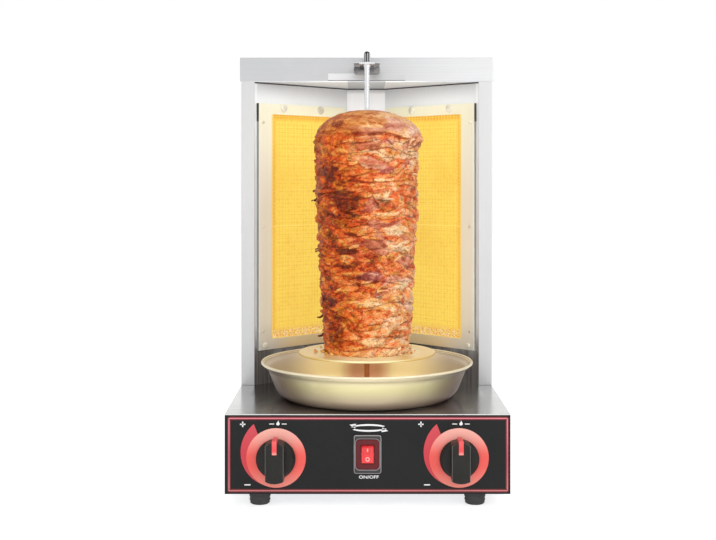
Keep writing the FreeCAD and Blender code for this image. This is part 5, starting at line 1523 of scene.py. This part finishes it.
@dataclass
class SpitTop(Part):
    """The spit with its ridged tip, and the knurled wing bolt under the arm."""

    ridges: int = 9
    ridge_in: float = 0.0011

    def build(self) -> None:
        """Cuts the plain tip off a copy of the spit and puts a ridged one in its place."""
        low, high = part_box("spit_rod")
        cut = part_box("spit_arm")[1].z + 0.0008
        bm = self.merged_copy("spit_rod")
        bmesh.ops.bisect_plane(bm, geom=bm.verts[:] + bm.edges[:] + bm.faces[:], clear_outer=True,
                               plane_co=(0, 0, cut), plane_no=(0, 0, 1))
        bmesh.ops.contextual_create(bm, geom=[e for e in bm.edges if e.is_boundary])
        radius = (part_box("spit_rod")[1].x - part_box("spit_rod")[0].x) / 2
        tall = high.z - cut
        dome = [(radius * math.cos(a), tall - radius * (1 - math.sin(a))) for a in (math.radians(15 * k) for k in range(6))]
        tip = self.turned([(0.0, 0.0), (radius, 0.0)] + dome + [(0.0, tall)], self.ridges * 4,
                          Vector((SPIT.x, SPIT.y, cut)))
        for vert in tip.verts:
            aside = Vector((vert.co.x - SPIT.x, vert.co.y - SPIT.y))
            if aside.length > radius * 0.3:
                step = round(math.atan2(aside.y, aside.x) / math.tau * self.ridges * 4) % 4
                shrink = 1.0 - self.ridge_in / radius * (0.0, 0.1, 1.0, 0.9)[step]
                vert.co.x = SPIT.x + aside.x * shrink
                vert.co.y = SPIT.y + aside.y * shrink
        bmesh.ops.recalc_face_normals(tip, faces=tip.faces)
        self.finish_piece(self.joined([bm, tip]), "spit_turned", "spit", SPIT_STEEL, "spit_steel", ["spit_rod"], 25.0)
        bolt = self.merged_copy("wing_bolt")
        edges = [e for e in bolt.edges if len(e.link_faces) == 2 and e.is_convex
                 and e.calc_face_angle(0.0) > math.radians(40) and e.calc_length() > 0.001]
        bmesh.ops.bevel(bolt, geom=edges, offset=0.0004, segments=2, profile=0.5, affect="EDGES", material=-1,
                        clamp_overlap=True)
        self.finish_piece(bolt, "wing_bolt_knurled", "wing_bolt", BOLT, "bolt_metal", ["wing_bolt"], 35.0)


@dataclass
class RibbedFeet(Part):
    """Rubber feet with three ribs round each."""

    ribs: int = 3
    rib: float = 0.0006

    def build(self) -> None:
        """Replaces each foot by a turned one with its place and size."""
        for node in ("foot_front_left", "foot_front_right", "foot_back_left", "foot_back_right"):
            low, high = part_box(node)
            wide, tall = (high.x - low.x) / 2, high.z - low.z
            narrow = wide - 0.0010
            outside = [(narrow - 0.0016, 0.0), (narrow - 0.0004, 0.0012)]
            for k in range(self.ribs * 8 + 1):
                share = k / (self.ribs * 8)
                swell = self.rib * (0.5 - 0.5 * math.cos(math.tau * self.ribs * share)) - self.rib
                outside.append((narrow + (wide - narrow) * share + swell, 0.0022 + (tall - 0.0030) * share))
            profile = [(0.0, 0.0)] + outside + [(wide, tall - 0.0006), (wide, tall), (0.0, tall)]
            centre = Vector(((low.x + high.x) / 2, (low.y + high.y) / 2, low.z))
            self.finish_piece(self.turned(profile, 64, centre), node + "_ribbed", "machine", RUBBER, "foot_rubber",
                              [node], 50.0)


@dataclass
class ShadowGaps(Part):
    """Dark strips that stand for shadow: a painted shadow line at the joint round the liner's top, and a painted shadow
    along the outer edge of each burner cover.
    """

    bead: float = 0.0007
    level: float = 0.4622

    def strip(self, side: str, low: float, high: float, start: float, end: float) -> bmesh.types.BMesh:
        """Upright strip on a burner wall, between two distances from its outer corner."""
        size = Vector((end - start, 0.0032, high - low))
        bm = self.block(-size / 2, size / 2, 0.0003, 1)
        mirror = 1 if side == "left" else -1
        place = Vector((-mirror * (WALL_CORNER.x - (start + end) / 2 * math.cos(WALL_ANGLE)),
                        WALL_CORNER.y + (start + end) / 2 * math.sin(WALL_ANGLE), (low + high) / 2))
        place += Vector((mirror * math.sin(WALL_ANGLE), -math.cos(WALL_ANGLE), 0)) * 0.0012
        matrix = Matrix.Translation(place) @ Matrix.Rotation(mirror * WALL_ANGLE, 4, "Z")
        bmesh.ops.transform(bm, matrix=matrix, verts=bm.verts)
        return bm

    def build(self) -> None:
        """The ceiling strip follows the liner. The cover strips are thicker at the top."""
        curve = bpy.data.curves.new("seam", "CURVE")
        curve.dimensions = "3D"
        curve.bevel_depth = self.bead
        curve.bevel_resolution = 1
        spline = curve.splines.new("POLY")
        corners = [(-0.1335, 0.0136), (-0.0245, 0.1186), (0.0245, 0.1186), (0.1335, 0.0136)]
        spline.points.add(len(corners) - 1)
        for point, (x, y) in zip(spline.points, corners):
            point.co = (x, y, self.level, 1.0)
        holder = bpy.data.objects.new("seam", curve)
        bpy.context.scene.collection.objects.link(holder)
        bpy.context.view_layer.update()
        mesh = bpy.data.meshes.new_from_object(holder.evaluated_get(bpy.context.evaluated_depsgraph_get()))
        bpy.data.objects.remove(holder)
        # Painted shadow line at the wall-ceiling joint.
        self.place_mesh(mesh, "ceiling_shadow_line", "machine", SHADOW_GAP, "liner_steel")
        for side in SIDES:
            # Painted shadow along each cover's outer edge, darker and wider at the top.
            for name, strip, finish in (("cover_shadow_gap_", self.strip(side, 0.4160, 0.4378, 0.0030, 0.0043), SHADOW_GAP),
                                        ("cover_shadow_line_", self.strip(side, 0.1412, 0.4170, 0.0035, 0.0040), SHADOW_LINE)):
                self.finish_piece(strip, name + side, "machine", finish, "liner_steel")


@dataclass
class PanelPrint(Part):
    """What is printed on the control panel: a border, two dials with wedges, and plain signs."""

    half_w: float = 0.1477
    shift: float = 0.0006
    low: float = 0.0180
    high: float = 0.0972
    border_w: float = 0.0034
    core_w: float = 0.0011
    corner: float = 0.0022
    ink: float = 0.00012
    ring_r: float = 0.0312
    ring_in: float = 0.0190

    def face(self) -> float:
        """The panel's front, as y."""
        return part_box("front_panel")[0].y

    def frame_ring(self, name: str, inset: float, width: float, lift: float, finish: Finish) -> None:
        """Rounded rectangular ring on the panel.

        Args:
            name: The piece's name.
            inset: How far its outer edge is inside the border's outer edge.
            width: Its width.
            lift: How far it stands off the panel.
            finish: Its ink.
        """
        w, h = self.half_w - inset, (self.high - self.low) / 2 - inset
        bm = bmesh.new()
        bmesh.ops.create_grid(bm, x_segments=1, y_segments=1, size=1.0, matrix=Matrix.Diagonal((w, h, 1, 1)))
        bmesh.ops.bevel(bm, geom=bm.verts[:], offset=max(self.corner - inset, 0.0004), segments=4, profile=0.5, affect="VERTICES",
                        material=-1)
        inner = bmesh.ops.inset_region(bm, faces=bm.faces[:], thickness=width, use_even_offset=True,
                                        use_boundary=True)
        middle = [f for f in bm.faces if f not in inner["faces"]]
        bmesh.ops.delete(bm, geom=middle, context="FACES")
        self.lay(bm, Vector((self.shift, 0, (self.low + self.high) / 2)), lift)
        self.finish_piece(bm, name, "machine", finish, "panel_black")

    def lay(self, bm: bmesh.types.BMesh, centre: Vector, lift: float) -> None:
        """Stands a flat mesh up on the panel as a thin film.

        Args:
            bm: A mesh drawn flat, x to the right and y up.
            centre: Where its origin goes, as x and z.
            lift: How far the film's front is off the panel.
        """
        bmesh.ops.recalc_face_normals(bm, faces=bm.faces)
        if sum(f.normal.z for f in bm.faces) < 0:
            bmesh.ops.reverse_faces(bm, faces=bm.faces)
        thick = bmesh.ops.extrude_face_region(bm, geom=bm.faces[:])
        moved = [v for v in thick["geom"] if isinstance(v, bmesh.types.BMVert)]
        bmesh.ops.translate(bm, verts=moved, vec=(0, 0, lift))
        bmesh.ops.recalc_face_normals(bm, faces=bm.faces)
        stand = Matrix.Rotation(math.radians(90), 4, "X")
        bmesh.ops.transform(bm, matrix=Matrix.Translation((centre.x, self.face(), centre.z)) @ stand, verts=bm.verts)

    def dial(self, side: str) -> None:
        """Ring and wedge round one knob."""
        low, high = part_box("knob_" + side)
        centre = Vector(((low.x + high.x) / 2, 0, (low.z + high.z) / 2))
        ring = bmesh.new()
        bmesh.ops.create_circle(ring, cap_ends=True, segments=128, radius=self.ring_r)
        inner = bmesh.ops.inset_region(ring, faces=ring.faces[:], thickness=self.ring_r - self.ring_in,
                                        use_boundary=True)
        middle = [f for f in ring.faces if f not in inner["faces"]]
        bmesh.ops.delete(ring, geom=middle, context="FACES")
        self.lay(ring, centre, self.ink * 2)
        self.finish_piece(ring, "dial_ring_" + side, "machine", INK_RING, "pointer_red")
        wedge = bmesh.new()
        bmesh.ops.create_grid(wedge, x_segments=40, y_segments=1, size=0.5)
        for vert in wedge.verts:
            share = vert.co.x + 0.5
            angle = math.radians(125.5 + 124.5 * share + (2.5 if vert.co.y < 0 else -2.2) * (1 - share) ** 8)
            wide = 0.0117 * (1 - share) ** 1.2 + 0.0003
            radius = self.ring_r - 0.0006 + (wide if vert.co.y > 0 else 0.0)
            vert.co = Vector((radius * math.cos(angle), radius * math.sin(angle), 0))
        self.lay(wedge, centre, self.ink)
        self.finish_piece(wedge, "dial_wedge_" + side, "machine", INK_WEDGE, "pointer_red")

    def sign(self, name: str, text: str, size: float, x: float, z: float, wide: float = 1.0) -> None:
        """Plain figures or letters, printed in white.

        Args:
            name: The piece's name.
            text: What is printed.
            size: Height of the type.
            x: Middle, across the panel.
            z: Middle, over the table.
            wide: Stretch across.
        """
        curve = bpy.data.curves.new(name, "FONT")
        curve.body = text
        curve.size = size
        curve.align_x = "CENTER"
        curve.align_y = "CENTER"
        curve.offset = size * 0.018
        holder = bpy.data.objects.new(name + "_type", curve)
        bpy.context.scene.collection.objects.link(holder)
        bpy.context.view_layer.update()
        mesh = bpy.data.meshes.new_from_object(holder.evaluated_get(bpy.context.evaluated_depsgraph_get()))
        bpy.data.objects.remove(holder)
        bm = bmesh.new()
        bm.from_mesh(mesh)
        bpy.data.meshes.remove(mesh)
        bmesh.ops.transform(bm, matrix=Matrix.Diagonal((wide, 1, 1, 1)), verts=bm.verts)
        self.lay(bm, Vector((x, 0, z)), self.ink)
        self.finish_piece(bm, name, "machine", INK_WHITE, "panel_black")

    def bar(self, wide: float, tall: float, x: float = 0.0, y: float = 0.0) -> bmesh.types.BMesh:
        """Flat bar round a middle."""
        bm = bmesh.new()
        place = Matrix.Translation((x, y, 0)) @ Matrix.Diagonal((wide, tall, 1, 1))
        bmesh.ops.create_grid(bm, x_segments=1, y_segments=1, size=0.5, matrix=place)
        return bm

    def marks(self) -> None:
        """Plus and minus beside each dial, a flame over it and the turning sign over the switch."""
        for side, more_x, less_x in (("left", -0.1310, -0.1260), ("right", 0.0560, 0.0624)):
            plus = self.joined([self.bar(0.0056, 0.0013), self.bar(0.0013, 0.0056)])
            self.lay(plus, Vector((more_x, 0, 0.0893)), self.ink)
            self.finish_piece(plus, "sign_more_" + side, "machine", INK_WHITE, "panel_black")
            less = self.bar(0.0064, 0.0013)
            self.lay(less, Vector((less_x, 0, 0.0258)), self.ink)
            self.finish_piece(less, "sign_less_" + side, "machine", INK_WHITE, "panel_black")
            self.flame(side)
        self.turning_sign()

    def flame(self, side: str) -> None:
        """Small flame between two short lines, over a dial."""
        low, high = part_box("knob_" + side)
        drop = bmesh.new()
        bmesh.ops.create_circle(drop, cap_ends=True, segments=28, radius=0.0019)
        for vert in drop.verts:
            if vert.co.y > 0:
                rise = vert.co.y / 0.0019
                vert.co.x *= max(1 - rise, 0.0) ** 0.7
                vert.co.y *= 1 + 0.75 * rise
                vert.co.x += 0.0004 * rise
        lines = [self.bar(0.0052, 0.0009, sign * 0.0066, -0.0004) for sign in (-1, 1)]
        bm = self.joined([drop] + lines)
        self.lay(bm, Vector(((low.x + high.x) / 2 + 0.0020, 0, 0.0900)), self.ink)
        self.finish_piece(bm, "sign_flame_" + side, "machine", INK_WHITE, "panel_black")

    def turning_sign(self) -> None:
        """Flat oval of two arrows: the spit turns."""
        parts = []
        for sign in (-1, 1):
            arc = bmesh.new()
            bmesh.ops.create_grid(arc, x_segments=28, y_segments=1, size=0.5)
            for vert in arc.verts:
                angle = math.radians(sign * 90 + 90 - 14 - 138 * (vert.co.x + 0.5))
                wide = 0.0009 * (1 if vert.co.y > 0 else -1)
                vert.co = Vector(((0.0182 + wide) * math.cos(angle), (0.0031 + wide) * math.sin(angle), 0))
            parts.append(arc)
            head = bmesh.new()
            bmesh.ops.create_circle(head, cap_ends=True, segments=3, radius=0.0034)
            tip = Vector((sign * -0.0160, sign * 0.0024, 0))
            turn = Matrix.Rotation(math.radians(90 if sign > 0 else -90) + math.radians(-12), 4, "Z")
            bmesh.ops.transform(head, matrix=Matrix.Translation(tip) @ turn @ Matrix.Diagonal((0.85, 1.3, 1, 1)),
                                verts=head.verts)
            parts.append(head)
        bm = self.joined(parts)
        self.lay(bm, Vector((0.0013, 0, 0.0855)), self.ink)
        self.finish_piece(bm, "sign_turning", "machine", INK_WHITE, "panel_black")

    def build(self) -> None:
        """Border, dials and signs."""
        self.frame_ring("border_outer", 0.0, self.border_w, self.ink, INK_MAROON)
        self.frame_ring("border_core", (self.border_w - self.core_w) / 2, self.core_w, self.ink * 1.8, INK_PINK)
        for side in SIDES:
            self.dial(side)
        self.sign("sign_on_off", "ON/OFF", 0.0046, 0.0013, 0.0338, 1.25)
        self.marks()


@dataclass
class SwitchMarks(Part):
    """The line and circle moulded on the rocker."""

    def build(self) -> None:
        """Line on the upper half, circle on the lower one, both riding on the rocker."""
        low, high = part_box("rocker")
        centre = Vector(((low.x + high.x) / 2, 0, (low.z + high.z) / 2))
        bars = self.block(Vector((-0.0006, -0.0003, -0.0019)), Vector((0.0006, 0.0, 0.0019)))
        ring = self.turned([(0.0023, 0.0), (0.0023, 0.0003), (0.0014, 0.0003), (0.0014, 0.0), (0.0023, 0.0)], 32)
        bmesh.ops.transform(ring, matrix=Matrix.Rotation(math.radians(90), 4, "X"), verts=ring.verts)
        for name, bm, up in (("rocker_line", bars, 0.0050), ("rocker_circle", ring, -0.0050)):
            y = self.surface(centre.x, centre.z + up)
            tilt = self.surface(centre.x, centre.z + up + 0.001) - self.surface(centre.x, centre.z + up - 0.001)
            lean = Matrix.Rotation(-math.atan2(tilt, 0.002), 4, "X")
            bmesh.ops.transform(bm, matrix=Matrix.Translation((centre.x, y, centre.z + up)) @ lean, verts=bm.verts)
            self.finish_piece(bm, name, "rocker", INK_PALE, "rocker_red")

    @staticmethod
    def surface(x: float, z: float) -> float:
        """The rocker's front at a place, as y."""
        hit, point, _, _ = frame["nodes"]["rocker"].ray_cast(Vector((x, -0.5, z)), Vector((0, 1, 0)))
        return point.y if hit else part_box("rocker")[0].y


@dataclass
class Fasteners(Part):
    """Cross-recessed heads on every screw."""

    recess_w: float = 0.16
    recess_l: float = 0.56
    deep: float = 0.35
    top_row: float = 0.55

    def head(self, radius: float, tall: float) -> bmesh.types.BMesh:
        """Low domed head with a cross recess, its top along z.

        Args:
            radius: The head's radius.
            tall: Its height.

        Returns:
            The head.
        """
        bm = self.turned([(0.0, 0.0), (radius * 0.97, 0.0), (radius, tall * 0.15), (radius * 0.97, tall * 0.42),
                          (radius * 0.86, tall * 0.72), (radius * 0.66, tall * 0.92), (radius * 0.6, tall), (0.0, tall)], 20)
        whole = bm.verts[:] + bm.edges[:] + bm.faces[:]
        for axis in (Vector((1, 0, 0)), Vector((0, 1, 0))):
            for share in (-self.recess_l, -self.recess_w, self.recess_w, self.recess_l):
                whole = bm.verts[:] + bm.edges[:] + bm.faces[:]
                bmesh.ops.bisect_plane(bm, geom=whole, plane_co=axis * radius * share, plane_no=axis)
        cross = []
        for f in bm.faces:
            c = f.calc_center_median()
            a, b = sorted((abs(c.x), abs(c.y)))
            if f.normal.z > 0.999 and c.z > tall * 0.99 and a < radius * self.recess_w and b < radius * self.recess_l:
                cross.append(f)
        sunk = bmesh.ops.extrude_face_region(bm, geom=cross)
        bmesh.ops.delete(bm, geom=cross, context="FACES")
        moved = [v for v in sunk["geom"] if isinstance(v, bmesh.types.BMVert)]
        bmesh.ops.translate(bm, verts=moved, vec=(0, 0, -tall * self.deep))
        bmesh.ops.recalc_face_normals(bm, faces=bm.faces)
        return bm

    def screws(self, node: str, finish: Finish) -> None:
        """Replaces the screws of a node, each with its head the right way.

        Args:
            node: A node that holds only screws.
            finish: Their finish.
        """
        source = self.merged_copy(node)
        left = set(source.verts)
        wall = [Vector((s * math.sin(WALL_ANGLE), -math.cos(WALL_ANGLE), 0)) for s in (-1, 1)]
        ways = [Vector((1, 0, 0)), Vector((0, 1, 0)), Vector((0, 0, 1))] + wall
        parts = []
        rng = random.Random(len(left))
        while left:
            stack, island = [left.pop()], []
            while stack:
                vert = stack.pop()
                island.append(vert.co.copy())
                for edge in vert.link_edges:
                    other = edge.other_vert(vert)
                    if other in left:
                        left.discard(other)
                        stack.append(other)
            parts += self.screw(island, ways, rng)
        source.free()
        self.finish_piece(self.joined(parts), node + "_turned", "machine", finish, "zinc", [node], 30.0)

    def screw(self, island: list[Vector], ways: list[Vector], rng: random.Random) -> list[bmesh.types.BMesh]:
        """Head and shank for one screw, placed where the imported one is."""
        def spread(way: Vector) -> float:
            reach = [p.dot(way) for p in island]
            middle = sum(island, Vector()) / len(island)
            aside = max((p - middle - way * (p - middle).dot(way)).length for p in island)
            return (max(reach) - min(reach)) - 2 * aside
        way = max(ways, key=spread)
        along = [p.dot(way) for p in island]
        axis_point = sum(island, Vector()) / len(island)
        axis_point -= way * axis_point.dot(way)
        ends = {}
        for sign in (1, -1):
            edge = max(sign * a for a in along)
            near = [p for p in island if edge - sign * p.dot(way) < 0.0016]
            ends[sign] = max((p - axis_point - way * p.dot(way)).length for p in near)
        sign = 1 if ends[1] > ends[-1] else -1
        out = way * sign
        radius = ends[sign]
        wider = 1.0 + self.top_row * smoothstep(0.4300, 0.4301, axis_point.z) * smoothstep(0.4400, 0.4399, axis_point.z)
        top = max(p.dot(out) for p in island)
        low = min(p.dot(out) for p in island)
        wide = [p.dot(out) for p in island if (p - axis_point - way * p.dot(way)).length > radius * 0.98]
        seat = min(wide)
        shank = min((p - axis_point - way * p.dot(way)).length for p in island if p.dot(out) < (seat + low) / 2)
        head = self.head(radius * wider, top - seat)
        shaft = self.turned([(0.0, 0.0), (shank * 0.5, 0.0), (shank, shank * 0.6), (shank, seat - low), (0.0, seat - low)], 14)
        spin = Matrix.Rotation(rng.uniform(0, math.tau), 4, "Z")
        turn = Vector((0, 0, 1)).rotation_difference(out).to_matrix().to_4x4()
        base = axis_point + out * seat
        bmesh.ops.transform(head, matrix=Matrix.Translation(base) @ turn @ spin, verts=head.verts)
        bmesh.ops.transform(shaft, matrix=Matrix.Translation(axis_point + out * low) @ turn, verts=shaft.verts)
        return [head, shaft]

    def build(self) -> None:
        """Every screw."""
        for node in ("burner_cover_screws", "rear_cover_screws", "body_screws", "foot_screws"):
            self.screws(node, WARM_SCREW if node.startswith("burner") else SCREW)


@dataclass
class CarriedOver:
    """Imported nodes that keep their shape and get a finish."""

    def build(self) -> None:
        """Gives every node its material, also those that a piece stands for."""
        slots = frame["record"]["materials"]
        for name, node in frame["nodes"].items():
            slot = node.data.materials[0].name.split(".")[0]
            finish = NODE_FINISH.get(name, SLOT_FINISH[slot])
            node.data.materials[0] = finish.material()
        log.info("%d nodes carry %d slots", len(frame["nodes"]), len(slots))


@dataclass
class Studio:
    """Floor, light and camera."""

    floor: float = 6.0
    ambient: float = 0.60
    lens: float = 59.33
    shift_x: float = -0.0021
    shift_y: float = -0.1257
    eye: tuple[float, float, float] = (-0.00845, -1.3996, 0.3456)

    def area(self, name: str, place: tuple[float, float, float], size: float, power: float,
             mirrored: bool = True, target: tuple[float, float, float] = (0.0, 0.0, 0.22)) -> None:
        """Square soft light that looks at the object.

        Args:
            name: The light's name.
            place: Where it stands.
            size: Its side.
            power: Its power in watts.
            mirrored: Whether metal mirrors it.
            target: What it looks at.
        """
        data = bpy.data.lights.new(name, "AREA")
        data.size = size
        data.energy = power
        light = bpy.data.objects.new(name, data)
        bpy.context.scene.collection.objects.link(light)
        light.location = place
        aim = Vector(target) - Vector(place)
        light.rotation_euler = aim.to_track_quat("-Z", "Y").to_euler()
        light.visible_glossy = mirrored

    def build(self) -> None:
        """Builds the stage and sets the view."""
        bm = bmesh.new()
        bmesh.ops.create_grid(bm, x_segments=8, y_segments=8, size=self.floor)
        mesh = bpy.data.meshes.new("floor")
        bm.to_mesh(mesh)
        bm.free()
        mesh.materials.append(StageWhite("stage").material())
        floor = bpy.data.objects.new("floor", mesh)
        bpy.context.scene.collection.objects.link(floor)
        self.area("key", (1.2, -1.6, 1.2), 1.1, 9.0)
        self.area("front", (-0.2, -2.0, 0.5), 1.3, 15.0, False)
        self.area("top", (0.1, -0.5, 1.9), 1.2, 5.0, False)
        self.area("inside", (0.0, -0.030, 0.450), 0.10, 0.10, False, (0.0, 0.12, 0.445))
        world = bpy.data.worlds.new("studio")
        bpy.context.scene.world = world
        world.use_nodes = True
        world.node_tree.nodes.clear()
        tree = Tree(world.node_tree)
        path = tree.add("ShaderNodeLightPath")
        seen = tree.math("MAXIMUM", path.outputs["Is Camera Ray"],
                         tree.math("MAXIMUM", path.outputs["Is Glossy Ray"], path.outputs["Is Transmission Ray"]))
        strength = tree.math("MULTIPLY_ADD", seen, 1.0 - self.ambient, self.ambient)
        back = tree.add("ShaderNodeBackground", {"Color": (1, 1, 1, 1), "Strength": strength})
        tree.add("ShaderNodeOutputWorld", {0: back.outputs[0]})
        lens = bpy.data.cameras.new("camera")
        lens.lens = self.lens
        lens.sensor_width = 36.0
        lens.shift_x = self.shift_x
        lens.shift_y = self.shift_y
        lens.dof.use_dof = False
        camera = bpy.data.objects.new("camera", lens)
        bpy.context.scene.collection.objects.link(camera)
        camera.location = self.eye
        camera.rotation_euler = (math.radians(90), 0, 0)
        bpy.context.scene.camera = camera
        bpy.context.scene.view_settings.view_transform = "Standard"


def main() -> None:
    """Builds the broiler and its studio."""
    logging.basicConfig(level=logging.INFO, format="%(message)s")
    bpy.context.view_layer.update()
    sub_assemblies: list[Any] = [Studio(), CarriedOver(), SheetMetal(), WovenScreens(), RibbedFeet(), ShadowGaps(), DripPan(),
                                 Knobs(), PanelPrint(), SwitchFrame(), SwitchMarks(), SpitTop(), Fasteners(),
                                 MeatStack()]
    for part in sub_assemblies:
        part.build()
        log.info("%s built", type(part).__name__)


if __name__ == "__main__":
    main()
